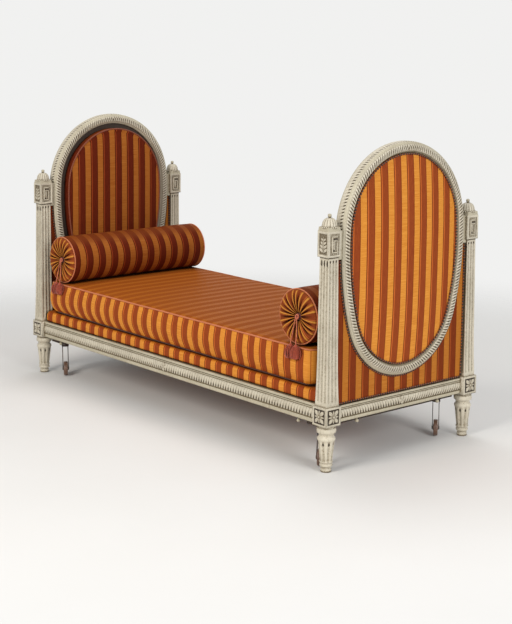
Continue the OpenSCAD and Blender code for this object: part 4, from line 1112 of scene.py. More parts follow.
# %% Bare wood
grain, start, end = group(
    "wood grain",
    [("Stretch", "Vector", (1, 1, 1)), ("Light", "Color", (1, 1, 1, 1)), ("Dark", "Color", (0, 0, 0, 1))],
    [("Color", "Color"), ("Height", "Float")],
)
spot = put(grain, "TexCoord").outputs["Object"]
drawn_out = put(grain, "VectorMath", {0: spot, 1: start["Stretch"]}, operation="MULTIPLY").outputs[0]
figure = cloudy(grain, drawn_out, 11.0, 5.0, Distortion=0.6)
pores = cloudy(grain, drawn_out, 90.0, 3.0)
rings = calc(grain, "FRACT", calc(grain, "MULTIPLY", figure, 7.0))
tone = calc(grain, "MULTIPLY_ADD", ramp(grain, pores, 0.55, 0.7), 0.4, calc(grain, "MULTIPLY", rings, 0.5))
grain.links.new(blend(grain, tone, start["Light"], start["Dark"]), end["Color"])
grain.links.new(ramp(grain, pores, 0.5, 0.75, 1.0, 0.0), end["Height"])


def bare_wood(name, light, dark, stretch, rough):
    """Planed wood with its grain along the small number of the stretch."""
    material, tree, shader = new_material(name)
    made = place_group(tree, grain, {"Stretch": stretch, "Light": light, "Dark": dark})
    dull = ramp(tree, made["Height"], 0, 1, rough + 0.15, rough)
    fill(tree, shader.inputs, {"Base Color": made["Color"], "Roughness": dull})
    bumped(tree, shader, made["Height"], 0.3, 0.3 * mm)
    return material


grain_along, grain_across = (0.8, 9.0, 9.0), (9.0, 0.8, 9.0)
beech_along = bare_wood("beech along the bed", srgb(138, 104, 72), srgb(92, 66, 44), grain_along, 0.55)
# Painted shade: the boards are darkened to read as the dark gaps around them.
shaded_beech = bare_wood("beech of the boards, painted shade", srgb(62, 46, 34), srgb(38, 28, 20), grain_across, 0.7)
beech_across = bare_wood("beech across the bed", srgb(134, 100, 68), srgb(90, 64, 42), grain_across, 0.55)
wheel_wood = bare_wood("wheel wood", srgb(122, 92, 74), srgb(58, 40, 32), (2.5, 2.5, 2.5), 0.4)

# %% [markdown]
# ## Iron and steel
# The casters' forks and plates are old iron: nearly black, with brown rust in patches where the polish has
# gone. The axles and screws are brighter steel with fine scratches.

# %% Metals
metal, start, end = group(
    "aged metal",
    [("Clean", "Color", (1, 1, 1, 1)), ("Rust", "Color", (0, 0, 0, 1)), ("Spread", "Float", 0.5)],
    [("Color", "Color"), ("Rough", "Float"), ("Metal", "Float"), ("Height", "Float")],
)
spot = put(metal, "TexCoord").outputs["Object"]
patch = cloudy(metal, spot, 38.0, 6.0, Roughness=0.65)
scratch_at = put(metal, "Mapping", {"Vector": spot, "Scale": (40.0, 300.0, 300.0)}, vector_type="POINT")
scratch = cloudy(metal, scratch_at.outputs[0], 4.0)
rusted = ramp(metal, calc(metal, "ADD", patch, start["Spread"]), 0.9, 1.12)
metal.links.new(blend(metal, rusted, start["Clean"], start["Rust"]), end["Color"])
polish = ramp(metal, scratch, 0.3, 0.7, 0.28, 0.46)
metal.links.new(calc(metal, "MULTIPLY_ADD", rusted, 0.4, polish), end["Rough"])
metal.links.new(calc(metal, "MULTIPLY_ADD", rusted, -0.75, 0.95), end["Metal"])
metal.links.new(calc(metal, "MULTIPLY_ADD", patch, 0.8, calc(metal, "MULTIPLY", scratch, 0.2)), end["Height"])


def old_metal(name, clean, rust_tone, spread):
    """Metal with rust in patches; the larger the spread, the more rust."""
    material, tree, shader = new_material(name)
    made = place_group(tree, metal, {"Clean": clean, "Rust": rust_tone, "Spread": spread})
    values = {"Base Color": made["Color"], "Roughness": made["Rough"], "Metallic": made["Metal"]}
    fill(tree, shader.inputs, values)
    bumped(tree, shader, made["Height"], 0.3, 0.3 * mm)
    return material


dark_iron = old_metal("dark iron", srgb(66, 60, 58), srgb(84, 52, 34), 0.45)
bare_steel = old_metal("bare steel", srgb(170, 166, 160), srgb(110, 80, 56), 0.2)

# %% Give the joiner's nodes their finishes
finishes = {
    "painted_wood": stone_white, "raw_wood": beech_along, "dark_iron": dark_iron, "bare_steel": bare_steel,
    "wheel_wood": wheel_wood, "striped_fabric": silk, "piping": piping_silk, "red_trim": tassel_silk,
    "stuffing": beech_across,
}  # fmt: skip
laid_across = {
    "slats": beech_across, "caster_boards": shaded_beech, "foot_backing_board": shaded_beech,
    "head_backing_board": shaded_beech,
}  # fmt: skip
for part in frame["record"]["subparts"]:
    node = frame["nodes"][part["node"]]
    node.data.materials.clear()
    node.data.materials.append(laid_across.get(node.name, finishes[part["material_slot"]]))

# %% [markdown]
# ## Carved ornament
# Carving is a shape with a memory of depth: its deep floors are painted dark, as painted shade, while the
# crests keep the pale paint. Each carved form below therefore carries, in the same map that the cloth uses,
# how deep a point lies, and the carved paint reads it. Without that, shading alone would have to find
# hollows a millimetre or two deep.

# %% Carved paint
carved_white = painted("carved stone white paint", srgb(206, 197, 176), 0.6, carved=True)
print(carved_white.name)

# %% [markdown]
# The running ornament of the rails and ovals is a ribbon twist: a rounded moulding cut by slanting valleys,
# as if a ribbon were wound round a rod. On its lower or outer side the cutter went deeper, and the slots
# there are painted darker as painted shade, which gives a row of dark slots; on the ovals' flat faces the
# dark slots lie in the middle of the band. A band is one grid: along the moulding, across its front and back
# again behind it.

# %% Ribbon twist
front_steps, back_steps, band_sunk = 11, 2, 0.4 * mm


def twist_height(t, phase, low, high, slot):
    """The height at t across the band, from -1 to 1, and how hollow it is there, weighted to one side or the
    middle as painted shade.
    """
    below = 1 / (1 + math.exp(9 * (t * slot + 0.12))) if slot else 0.95 - 0.4 * abs(t)
    crest = abs(math.cos(math.pi * phase))
    gap = 0.16 + 0.40 * below
    lobe = min(1.0, max(0.0, (crest - gap + 0.12) / 0.34))
    lobe = lobe * lobe * (3 - 2 * lobe)
    cut = (0.55 + 0.45 * below) * (1 - lobe)
    floor_here = low * (1 - abs(t) ** 2.2)
    top_here = high * max(0.0, 1 - abs(t) ** 2.6) ** 0.55
    # Painted shade: the hollow's darkness is weighted towards the lower side.
    return floor_here + (top_here - floor_here) * (1 - cut), cut * (0.30 + 0.70 * below)


def carved_band(bm, length, pitch, half, low, high, lean, spot, turn_at, slot=1.0):
    """A ribbon twist of a length. spot(s, across, out) gives the place of a point of the band.

    turn_at(share) is 1 or -1: the hand of the twist, which changes in the middle of each side.
    """
    lobes = round(length / pitch)
    along = lobes * 8
    around = front_steps + back_steps

    @functools.cache
    def at(u, v):
        s = u * length
        k = round(v * around) % around
        if k > front_steps:
            return s, 1 - 2 * (k - front_steps) / back_steps, -band_sunk, 0.0
        t = 2 * k / front_steps - 1
        way = turn_at(u)
        height, cut = twist_height(t, s / length * lobes - way * lean * t / pitch, low, high, slot)
        return s, t, height - (band_sunk if k in (0, front_steps) else 0), cut

    def place(u, v):
        s, t, height, _ = at(u, v)
        return spot(s, t * half, height)

    closed_form(bm, along, around, place, lambda u, v: (at(u, v)[3], 0))


# %% Carve the rails
side_rail_x, side_face_y, end_face_x, end_rail_y = 927 * mm, 395 * mm, 983 * mm, 337 * mm
rail_mid_z, rail_relief, tie_lift = 211 * mm, 5 * mm, 6 * mm
band_low, band_high = 3.1 * mm, 7 * mm
ties = []


def two_hands(share):
    """The hand of a twist on a rail, which changes in its middle."""
    return 1.0 if share > 0.5 else -1.0


def rail_ribbon(name, way, out, half_long, face, pitch, half, lean, tie_half):
    """The ribbon on one rail, and the place for the tie in its middle."""
    way, out, up = Vector(way), Vector(out), Vector((0, 0, rail_mid_z))
    base = face - rail_relief

    def place(s, across, rise):
        return way * (s - half_long) + out * (base + rise) + Vector((0, 0, rail_mid_z + across))

    bm = bmesh.new()
    carved_band(bm, 2 * half_long, pitch, half, band_low, band_high, lean, place, two_hands)
    piece(f"{name}_ribbon", bm, carved_white, "frame", 60)
    ties.append((out * (base + tie_lift) + up, out, tie_half))


for name, s in (("front_rail", -1), ("back_rail", 1)):
    rail_ribbon(
        name, (1, 0, 0), (0, s, 0), side_rail_x, side_face_y, 15.4 * mm, 18.6 * mm, 6.5 * mm, 19 * mm
    )
for name, s in (("foot_rail", 1), ("head_rail", -1)):
    rail_ribbon(name, (0, 1, 0), (s, 0, 0), end_rail_y, end_face_x, 13.6 * mm, 16 * mm, 6 * mm, 16.5 * mm)
print("ribbons on the four rails")

# %% [markdown]
# The ovals carry the same ribbon three times: on the flat of both faces and on the outer edge. The
# opening's side keeps a plain bright fillet. The band follows the egg by its share of the way round, so its
# lobes keep one length while the line bends.

# %% Carve the ovals
face_mid, edge_mid, bedded = oval_width * 0.5, oval_width, 0.1 * mm


def mirrored(grow):
    """The hand of a twist on the egg: one on its left half and the other on its right."""
    return lambda share: math.copysign(1.0, egg(share, grow)[0])


for end_name, e in bed_ends:
    bm = bmesh.new()
    for side in (-1, 1):
        way_round = egg_length(face_mid)
        flat = oval_plane + side * oval_thick / 2

        def on_face(s, across, out):
            y, z, away = egg(s / way_round, face_mid)
            return Vector((e * (flat + side * (out - bedded)), y + away[0] * across, z + away[1] * across))

        hands = mirrored(face_mid)
        carved_band(bm, way_round, 12 * mm, 12 * mm, 0.3 * mm, 4.6 * mm, 6.5 * mm, on_face, hands, slot=0.0)
    way_round = egg_length(edge_mid)

    def on_edge(s, across, out):
        y, z, away = egg(s / way_round, edge_mid)
        rise = out - bedded
        return Vector((e * (oval_plane + across), y + away[0] * rise, z + away[1] * rise))

    hands, lean = mirrored(edge_mid), 6 * mm * e
    carved_band(bm, way_round, 12.6 * mm, 16 * mm, 0.3 * mm, 2.6 * mm, lean, on_edge, hands, slot=-float(e))
    oval = piece(f"{end_name}_oval_ribbon", bm, carved_white, "frame", 60)
    print(oval.name, len(oval.data.polygons), "faces")

# %% [markdown]
# ## Leaves and petals
# A carved leaf is one small closed form: narrow at its root, full in its middle, pointed at its tip, with a
# vein pressed along it. Its outline is painted darker, as painted shade. Rosettes, acanthus leaves, the ties
# on the rails and the stops of the flutes, painted fully dark as painted shade, are all leaves of different
# proportions. A leaf takes its place from three directions: along, across and out.

# %% Helper for leaves
leaf_front, leaf_back, leaf_steps = 8, 2, 9


def leaf(bm, root, along, out, length, width, height, vein=0.3, full=0.9, curl=0.0, hollow=0.0):
    """A closed leaf on a ground, from its root along a direction. Its outline is painted darker as painted
    shade, and hollow paints all of it dark.
    """
    across = Vector(out).cross(Vector(along)).normalized()
    root, along, out = Vector(root), Vector(along), Vector(out)
    around = leaf_front + leaf_back

    def at(u, v):
        k = round(u * around) % around
        half = width / 2 * math.sin(math.pi * min(1.0, v**full * 0.96 + 0.04)) ** 0.8
        if k > leaf_front:
            return (1 - 2 * (k - leaf_front) / leaf_back) * half, -0.5 * mm
        t = 2 * k / leaf_front - 1
        rise = height * math.sin(math.pi * (0.12 + 0.86 * v)) ** 0.7
        press = 1 - vein * math.exp(-((t / 0.25) ** 2))
        return t * half, rise * (1 - t * t) ** 0.5 * press - 0.1 * mm

    def place(u, v):
        sideways, up = at(u, v)
        bend = curl * length * v * v
        return root + along * length * v + across * (sideways + bend) + out * up

    def chart(u, v):
        k = round(u * around)
        edge = abs(2 * k / leaf_front - 1) ** 6 if k <= leaf_front else 1.0
        return max(hollow, 0.55 * edge), 0

    closed_form(bm, around, leaf_steps, place, chart)


def shade_plate(bm, middle, side, out, half_wide, half_high, deep, lift=0.25 * mm):
    """A thin dark sheet behind open carving: painted shade where the carving is open."""
    out, side = Vector(out), Vector(side)
    up = out.cross(side)
    signs = ((-1, -1), (1, -1), (1, 1), (-1, 1))
    corners = [Vector(middle) + side * a * half_wide + up * b * half_high for a, b in signs]
    weave_layer(bm)
    front = [bm.verts.new(c + out * lift) for c in corners]
    back = [bm.verts.new(c - out * 0.5 * mm) for c in corners]
    faces = [bm.faces.new(front), bm.faces.new(reversed(back))]
    faces += [bm.faces.new((front[i], back[i], back[i - 3], front[i - 3])) for i in range(4)]
    chart_faces(bm, faces, lambda spot, normal: (deep, 0))


# %% [markdown]
# ## The stiles
# A stile is leg, corner block, post and upper block in one. The joiner's leg and blocks are right as they
# are, so they are copied, and only the post between them is made again, with three stopped flutes on each
# face. The copy is cut through with two planes and closed, and the post is a grid that goes once round.

# %% Make the stiles
post_low, post_high = 247 * mm, 797 * mm
flute_places, flute_half, flute_deep = (-0.6, 0.0, 0.6), 0.2, 3.0 * mm
post_places = [
    ("foot", "front", 1, -1), ("foot", "back", 1, 1), ("head", "front", -1, -1), ("head", "back", -1, 1),
]  # fmt: skip
post_x, post_y = 963 * mm, 374 * mm
flare_high, flare_out, waist_half, neck_half = 240 * mm, 4.5 * mm, 26.5 * mm, 24 * mm
leg_flute_low, leg_flute_high = 40 * mm, 121 * mm
post_stop_z, leg_stop_z, stop_r = 785 * mm, 101 * mm, 26 * mm


def post_half(z):
    """Half the post's width at a height: flared at the foot, then nearly straight."""
    t = (z - post_low) / flare_high
    if t < 1:
        return waist_half + flare_out * (1 - t) ** 2
    straight = post_high - post_low - flare_high
    return waist_half + (neck_half - waist_half) * (z - post_low - flare_high) / straight


def leg_hollow(spot, px, py):
    """How far a point of the leg lies in a flute, as a share, by which the carved paint paints shade there.
    """
    if not leg_flute_low < spot.z < leg_flute_high:
        return 0.0
    skin = (22.5 + 8.5 * min(1.0, max(0.0, (spot.z / mm - 47) / 66))) * mm
    return 0.45 * min(1.0, max(0.0, (skin - math.hypot(spot.x - px, spot.y - py)) / (2.6 * mm)))


def cut_part(bm, source, z, keep_low, px=0.0, py=0.0):
    """Adds the part of a solid above or below a height, closed where it is cut."""
    cut = bmesh.new()
    cut.from_mesh(source)
    bmesh.ops.remove_doubles(cut, verts=cut.verts, dist=0.01 * mm)
    everything = [*cut.verts, *cut.edges, *cut.faces]
    plane = dict(plane_co=(0, 0, z), plane_no=(0, 0, 1), clear_outer=keep_low, clear_inner=not keep_low)
    bmesh.ops.bisect_plane(cut, geom=everything, dist=0.001 * mm, **plane)
    rim = [edge for edge in cut.edges if len(edge.link_faces) == 1]
    bmesh.ops.holes_fill(cut, edges=rim, sides=0)
    if keep_low:
        chart_faces(cut, cut.faces, lambda spot, normal: (leg_hollow(spot, px, py), 0))
    part = bpy.data.meshes.new("cut part")
    cut.to_mesh(part)
    cut.free()
    bm.from_mesh(part)
    bpy.data.meshes.remove(part)


def post(bm, px, py):
    """The fluted post between the blocks."""
    around, high = 112, 96

    def flute(c, z):
        ends = min(z - (post_low + 14 * mm), (post_high - 9 * mm) - z)
        cut = 0.0
        for middle in flute_places:
            off = abs(c - middle) / flute_half
            if off < 1:
                reach = flute_half * post_half(z)
                if ends < reach:
                    off = math.hypot(off, 1 - max(0.0, ends) / reach)
                cut = max(cut, math.sqrt(max(0.0, 1 - off * off)))
        return cut

    @functools.cache
    def at(u, v):
        w = v * 2 - 1
        z = post_low + (post_high - post_low) * (0.5 + 0.5 * (w + 0.16 * math.sin(math.pi * w)))
        side, c = divmod(u * 4 % 4, 1)
        c = c * 2 - 1
        h = post_half(z)
        depth = flute(c, z)
        corner = 0.6 * mm * max(0.0, abs(c) - 0.93) / 0.07
        out = h - depth * flute_deep - corner
        for_side = {0: (out, c * h), 1: (-c * h, out), 2: (-out, -c * h), 3: (c * h, -out)}[int(side)]
        # Painted shadow: a dark line right under the upper block, and painted shade in the flutes.
        shade = 1.0 if z > post_high - 3 * mm else 0.5 * depth**2
        return Vector((px + for_side[0], py + for_side[1], z)), shade

    closed_form(bm, around, high, lambda u, v: at(u, v)[0], lambda u, v: (at(u, v)[1], 0))


for end_name, side_name, e, s in post_places:
    node = f"stile_{end_name}_{side_name}"
    bm = bmesh.new()
    cut_part(bm, frame["nodes"][node].data, post_low + 0.2 * mm, True, e * post_x, s * post_y)
    cut_part(bm, frame["nodes"][node].data, post_high - 0.2 * mm, False)
    post(bm, e * post_x, s * post_y)
    h = post_half(780 * mm)
    for side, way in enumerate(((1, 0, 0), (0, 1, 0), (-1, 0, 0), (0, -1, 0))):
        out = Vector(way)
        across = Vector((-out.y, out.x, 0))
        stop_long = (22 if side % 2 else 8) * mm
        # Painted shade: the stops of the flutes are leaves painted fully dark.
        for c in flute_places:
            foot = Vector((e * post_x, s * post_y, post_stop_z - stop_long))
            foot += out * (h - 2.2 * mm) + across * c * h
            leaf(bm, foot, (0, 0, 1), out, stop_long, 4.4 * mm, 2.4 * mm, 0, 0.8, hollow=1.0)
    # Painted shade: dark stops round the top of the leg's flutes.
    for i in range(8):
        a = math.radians(45 * i + 22.5)
        out = Vector((math.cos(a), math.sin(a), 0))
        foot = Vector((e * post_x, s * post_y, leg_stop_z)) + out * stop_r
        leaf(bm, foot, out * 0.13 + Vector((0, 0, 1)), out, 12 * mm, 9 * mm, 2.2 * mm, 0, 0.9, hollow=1.0)
    stile = piece(node + "_fluted", bm, carved_white, "frame", 38)
    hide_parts(node)
    print(stile.name, len(stile.data.polygons), "faces")

# %% [markdown]
# Each outer face of a corner block holds a rosette: four full petals on the diagonals, four small ones
# between them, and a button. The upper blocks carry an acanthus leaf on the outer side and a squared key on
# both faces along the bed. The leaf stands in the joiner's sunk panel, the petals just in front of the
# turned disc that fills theirs, and the key on a raised tongue.

# %% Rosettes, acanthus leaves and keys
block_face_x, block_face_y = 36 * mm, 37 * mm
upper_mid, upper_face_x, upper_face_y = 844 * mm, 29 * mm, 31 * mm
panel_deep = 4 * mm
disc_lift, petal_lift = 3.85 * mm, 3.2 * mm
petal_rings = ((4, 28 * mm, 16 * mm, 5 * mm, 45), (4, 21 * mm, 9 * mm, 4 * mm, 0))
button_profile = [(0, 5.6 * mm), (2.6 * mm, 5.1 * mm), (4.6 * mm, 3.6 * mm), (5 * mm, 1 * mm), (0, 0)]


def rosette(bm, middle, side, out):
    """A flower of eight petals in a square."""
    side, out = Vector(side), Vector(out)
    up = out.cross(side)
    shade_plate(bm, middle, side, out, 27 * mm, 27 * mm, deep=1.0, lift=disc_lift)
    middle = Vector(middle) + petal_lift * out
    for ring, (count, length, width, height, turn) in enumerate(petal_rings):
        for i in range(count):
            a = math.radians(turn + 360 * i / count)
            way = math.cos(a) * side + math.sin(a) * up
            leaf(bm, middle + way * 4 * mm, way, out, length, width, height, 0.4, 1.3 - 0.3 * ring)
    turned(bm, button_profile, middle, out, 14)


def acanthus(bm, middle, side, out):
    """A leaf with a rib and four pairs of curling lobes."""
    side, out = Vector(side), Vector(out)
    up = out.cross(side)
    middle = Vector(middle)
    shade_plate(bm, middle, side, out, 20 * mm, 36 * mm, deep=0.62)
    foot = middle - up * 33 * mm
    leaf(bm, foot, up, out, 64 * mm, 8 * mm, 5.4 * mm, 0.5, 1.0)
    for i in range(4):
        for hand in (-1, 1):
            lean = math.radians(38 - 4 * i)
            way = (math.cos(lean) * up + hand * math.sin(lean) * side).normalized()
            start_at = foot + up * (3 + 13.5 * i) * mm + side * hand * 2 * mm
            length = (25 - 3.2 * i) * mm
            leaf(bm, start_at, way, out, length, (14 - 1.4 * i) * mm, 5.2 * mm, 0.35, 1.25, curl=-0.22 * hand)


def bar(bm, middle, side, out, half_wide, half_high, high):
    """A raised bar, narrower on top than at its foot."""
    side, out = Vector(side), Vector(out)
    up = out.cross(side)
    made = bmesh.ops.create_cube(bm, size=2)["verts"]
    for vert in made:
        a, b, c = vert.co
        draft = 0.35 * high * (c + 1)
        a, b = a * (half_wide - draft), b * (half_high - draft)
        vert.co = Vector(middle) + side * a + up * b + out * (high if c > 0 else -0.3 * mm)


def key(bm, middle, side, out):
    """A squared key on the raised tongue: a hook whose slot and drilled eye are dark sheets of painted shade.
    """
    side, out = Vector(side), Vector(out)
    up = out.cross(side)
    middle = Vector(middle)
    shade_plate(bm, middle + up * 20 * mm + side * 3 * mm, side, out, 11 * mm, 2.6 * mm, deep=1.0)
    shade_plate(bm, middle - up * 21 * mm - side * 5 * mm, side, out, 3.4 * mm, 3.4 * mm, deep=1.0)
    shade_plate(bm, middle - up * 1 * mm + side * 4 * mm, side, out, 1.6 * mm, 17 * mm, deep=0.75)
    t, high = 2.6 * mm, 2.2 * mm
    bar(bm, middle - side * 12 * mm, side, out, t, 30.5 * mm, high)
    bar(bm, middle + up * 28 * mm, side, out, 14.5 * mm, t, high)
    bar(bm, middle - up * 28 * mm, side, out, 14.5 * mm, t, high)
    bar(bm, middle - up * 7 * mm + side * 11.5 * mm, side, out, t, 23 * mm, high)
    bar(bm, middle + up * 13.5 * mm + side * 3 * mm, side, out, 11 * mm, t, high)
    bar(bm, middle - up * 3 * mm - side * 2.5 * mm, side, out, t, 16 * mm, high)


for end_name, side_name, e, s in post_places:
    bm = bmesh.new()
    weave_layer(bm)
    at_x = Vector((e * (post_x + block_face_x - panel_deep), s * post_y, rail_mid_z))
    at_y = Vector((e * post_x, s * (post_y + block_face_y - panel_deep), rail_mid_z))
    rosette(bm, at_x, (0, e, 0), (e, 0, 0))
    rosette(bm, at_y, (-s, 0, 0), (0, s, 0))
    leaf_at = Vector((e * post_x, s * (post_y + upper_face_y - panel_deep), upper_mid))
    acanthus(bm, leaf_at, (-s, 0, 0), (0, s, 0))
    for face in (-1, 1):
        key_at = Vector((e * post_x + face * upper_face_x, s * post_y, upper_mid))
        key(bm, key_at, (0, face, 0), (face, 0, 0))
    carving = piece(f"stile_{end_name}_{side_name}_carving", bm, carved_white, "frame", 50)
    print(carving.name, len(carving.data.polygons), "faces")

# %% [markdown]
# A finial is a low dome with ribs like a melon's, over a row of beads. The dome is turned once more, a
# little larger than the joiner's, with its radius swelling and sinking along the circle. Ties of four small
# petals cover the places where the ribbons on the rails meet.

# %% Finials and ties
finial_low, finial_r, finial_high, ribs = 906 * mm, 27 * mm, 32.6 * mm, 14
beads, bead_r, bead_ring = 22, 3.3 * mm, 29 * mm

for end_name, side_name, e, s in post_places:
    middle = Vector((e * post_x, s * post_y, finial_low))

    def dome(u, v):
        angle = 2 * math.pi * u
        bow = math.cos(v * math.pi / 2) ** 0.75
        rib = abs(math.cos(angle * ribs / 2)) ** 0.6 - 0.5
        r = (finial_r + 0.8 * mm) * bow * (1 + 0.075 * rib * math.sin(math.pi * min(1, v + 0.08)))
        rise = 1 * mm + finial_high * math.sin(v * math.pi / 2)
        return middle + Vector((r * math.cos(angle), r * math.sin(angle), rise))

    # Painted shade: the paint goes dark between the ribs.
    def between_ribs(u, v):
        return 0.8 * (1 - abs(math.cos(math.pi * u * ribs)) ** 0.5), 0

    bm = bmesh.new()
    grid_form(bm, ribs * 8, 12, dome, between_ribs)
    for i in range(beads):
        a = 2 * math.pi * i / beads
        spot = middle + Vector((math.cos(a) * bead_ring, math.sin(a) * bead_ring, -0.6 * mm))
        bead = bmesh.ops.create_icosphere(bm, subdivisions=2, radius=bead_r, matrix=Matrix.Translation(spot))
        faces = {f for v in bead["verts"] for f in v.link_faces}
        chart_faces(bm, faces, lambda spot, normal: (0.25, 0))
    piece(f"finial_{end_name}_{side_name}_ribs", bm, carved_white, "frame", 60)

bm = bmesh.new()
for middle, out, half in ties:
    side = Vector((0, 0, 1)).cross(out)
    for a in (0, 90, 180, 270):
        way = math.cos(math.radians(a)) * side + math.sin(math.radians(a)) * Vector((0, 0, 1))
        leaf(bm, middle, way, out, half, 13 * mm, 4 * mm, 0.4, 1.2)
piece("rail_ties", bm, carved_white, "frame", 50)
print("finials and ties carved")

# %% [markdown]
# ## Nails
# The silk ends under a narrow brown braid with a row of domed iron nails. The nails stand a little apart,
# and each is a little off the line. From a distance they make the dotted dark line that draws the oval. A
# nail head has few faces, because there are more than a thousand of them.

# %% Braid and nails
nail_pitch, nail_r, braid_r = 12.2 * mm, 4.1 * mm, 2.5 * mm
nail_plane, nail_inset = 985 * mm, 2.5 * mm
spandrel_faces = (975.5 * mm, 950.5 * mm)
nail_shares = [(1, -0.2), (1, 0.15), (0.85, 0.42), (0.5, 0.64), (0, 0.72)]
one_nail = bmesh.new()
weave_layer(one_nail)
turned(one_nail, [(r * nail_r, h * nail_r) for r, h in nail_shares], (0, 0, 0), (0, 0, 1), 8)
nail_mesh = bpy.data.meshes.new("nail")
one_nail.to_mesh(nail_mesh)
one_nail.free()


def stamp(bm, mesh, spot, out):
    """Adds a copy of a small mesh that stands on a spot and looks along out."""
    place = Matrix.Translation(spot) @ out.to_track_quat("Z", "Y").to_matrix().to_4x4()
    mesh.transform(place)
    bm.from_mesh(mesh)
    mesh.transform(place.inverted())


def nailed(bm_braid, bm_nails, route, outs, closed):
    """A braid along a route with nails on it. outs gives the direction that each nail faces."""
    tube(bm_braid, [a + b * 0.4 * mm for a, b in zip(route, outs)], braid_r, 8, closed=closed)
    run = [(b - a).length for a, b in zip(route, route[1:] + route[:1])]
    total = sum(run) if closed else sum(run[:-1])
    count = round(total / nail_pitch)
    done, i = 0.0, 0
    for k in range(count):
        want = total * (k + 0.5) / count
        while done + run[i] < want:
            done += run[i]
            i += 1
        share = (want - done) / run[i]
        spot = route[i].lerp(route[(i + 1) % len(route)], share)
        out = outs[i]
        spread = spot * 300
        shift = Vector((0, noise.noise(spread), noise.noise(spread + Vector((7, 7, 7))))) * 0.6 * mm
        stamp(bm_nails, nail_mesh, spot + out * 2 * mm + shift, out)
    return count


nails = 0
braid_bm, nail_bm = bmesh.new(), bmesh.new()
weave_layer(nail_bm)
for _, e in bed_ends:
    around = 300
    opening = oval_route(e * nail_plane, -nail_inset, around)
    nails += nailed(braid_bm, nail_bm, opening, [Vector((e, 0, 0))] * around, True)
    grow = oval_width + 4.2 * mm
    top = (oval_arcs[0][2] + grow) * math.radians(90 - oval_arcs[0][3]) / egg_length(grow)
    rims = [egg(top + i / around, grow)[:2] for i in range(around + 1)]
    lower = [(y, z) for y, z in rims if abs(y) < 344 * mm and z < 781 * mm]
    for face_x in spandrel_faces:
        out = Vector((e * (1 if face_x > oval_plane else -1), 0, 0))
        route = [Vector((e * face_x, y, z)) for y, z in lower]
        nails += nailed(braid_bm, nail_bm, route, [out] * len(route), False)
        for s in (-1, 1):
            heights = [h * mm for h in range(252, 778, 6)]
            route = [Vector((e * face_x, s * (post_y - post_half(z) - 4.5 * mm), z)) for z in heights]
            nails += nailed(braid_bm, nail_bm, route, [out] * len(route), False)
        route = [Vector((e * face_x, y * mm, 248.5 * mm)) for y in range(-336, 337, 8)]
        nails += nailed(braid_bm, nail_bm, route, [out] * len(route), False)
piece("braid", braid_bm, braid_silk, "frame", 60)
nail_heads = piece("nail_heads", nail_bm, dark_iron, "frame", 60)
print(nails, "nails,", len(nail_heads.data.polygons), "faces")

# %% [markdown]
# Under the rails, about a hand from each corner, hang the turned heads of the bolts that hold the boards of
# the casters. Each is a short neck and a ball, painted like the rails.

# %% Bolt heads under the rails
knob_profile = [
    (0, 0), (7, 0), (7, -2.5), (3.4, -4.5), (3.2, -8), (5.6, -10.5), (7.6, -14.5), (6.8, -18.5), (4, -21.3),
    (0, -22),
]  # fmt: skip
under_side_rail, under_end_rail = (815 * mm, 377 * mm, 175.4 * mm), (965 * mm, 221 * mm, 180.4 * mm)
bm = bmesh.new()
weave_layer(bm)
for _, _, e, s in post_places:
    for x, y, z in (under_side_rail, under_end_rail):
        turned(bm, [(r * mm, h * mm) for r, h in knob_profile], (e * x, s * y, z), (0, 0, 1), 16)
piece("bolt_heads", bm, stone_white, "frame", 50)
print("eight bolt heads")

# %% [markdown]
# ## Floor, world and lamps
# A plain studio: a pale floor that fades into a pale world, one large soft lamp from the camera's left, a
# weaker one from its right and one above. The world is dimmer for the object than for the camera, so that
# the backdrop can be nearly white while the paint keeps its depth.

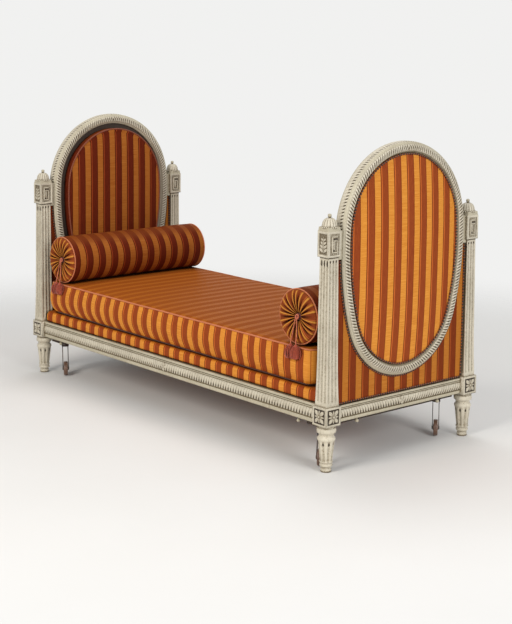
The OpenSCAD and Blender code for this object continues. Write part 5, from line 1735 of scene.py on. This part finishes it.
# %% Floor
bm = bmesh.new()
bmesh.ops.create_circle(bm, cap_ends=True, segments=96, radius=12)
bmesh.ops.translate(bm, vec=(0, 0, -0.5 * mm), verts=bm.verts)
floor_mesh = bpy.data.meshes.new("floor")
bm.to_mesh(floor_mesh)
bm.free()
floor = bpy.data.objects.new("floor", floor_mesh)
scene.collection.objects.link(floor)
floor_paint, tree, shader = new_material("floor paint")
spot = put(tree, "TexCoord").outputs["Object"]
far = put(tree, "VectorMath", {0: spot}, operation="LENGTH").outputs["Value"]
values = {
    "Base Color": blend(tree, cloudy(tree, spot, 1.4, 3.0), srgb(226, 224, 219), srgb(232, 230, 226)),
    "Alpha": ramp(tree, far, 1.5, 3.6, 1.0, 0.0), "Roughness": 0.85, "Specular IOR Level": 0.2,
}  # fmt: skip
fill(tree, shader.inputs, values)
floor_mesh.materials.append(floor_paint)

# %% World
world = bpy.data.worlds.new("studio")
world.use_nodes = True
scene.world = world
tree = world.node_tree
background = tree.nodes["Background"]
path = put(tree, "LightPath").outputs
seen = calc(tree, "MAXIMUM", path["Is Camera Ray"], path["Is Transmission Ray"])
seen = calc(tree, "MAXIMUM", seen, path["Is Glossy Ray"])
tree.links.new(blend(tree, seen, (0.42, 0.43, 0.45, 1), (0.88, 0.88, 0.87, 1)), background.inputs["Color"])
background.inputs["Strength"].default_value = 1.0


# %% Lamps
def soft_lamp(name, place, aim, power, size, tint):
    """A square soft lamp that looks at a point."""
    light = bpy.data.lights.new(name, "AREA")
    light.energy = power
    light.size = size
    light.color = tint
    lamp = bpy.data.objects.new(name, light)
    scene.collection.objects.link(lamp)
    look = (Vector(aim) - Vector(place)).to_track_quat("-Z", "Y")
    lamp.matrix_world = Matrix.Translation(place) @ look.to_matrix().to_4x4()


soft_lamp("key", (1.2, -5.6, 3.4), (0, 0, 0.5), 220, 2.4, (1.0, 0.97, 0.93))
soft_lamp("fill", (5.6, -0.6, 2.2), (0, 0, 0.5), 150, 2.4, (0.97, 0.98, 1.0))
soft_lamp("top", (-0.6, 0.8, 4.6), (0, 0, 0.4), 60, 2.2, (1.0, 1.0, 1.0))

# %% [markdown]
# ## The view
# The scene is shown through the plain Standard view. The dressed model must stay in the joiner's box,
# apart from a little that fabric may stand proud.

# %% View transform
scene.view_settings.view_transform = "Standard"
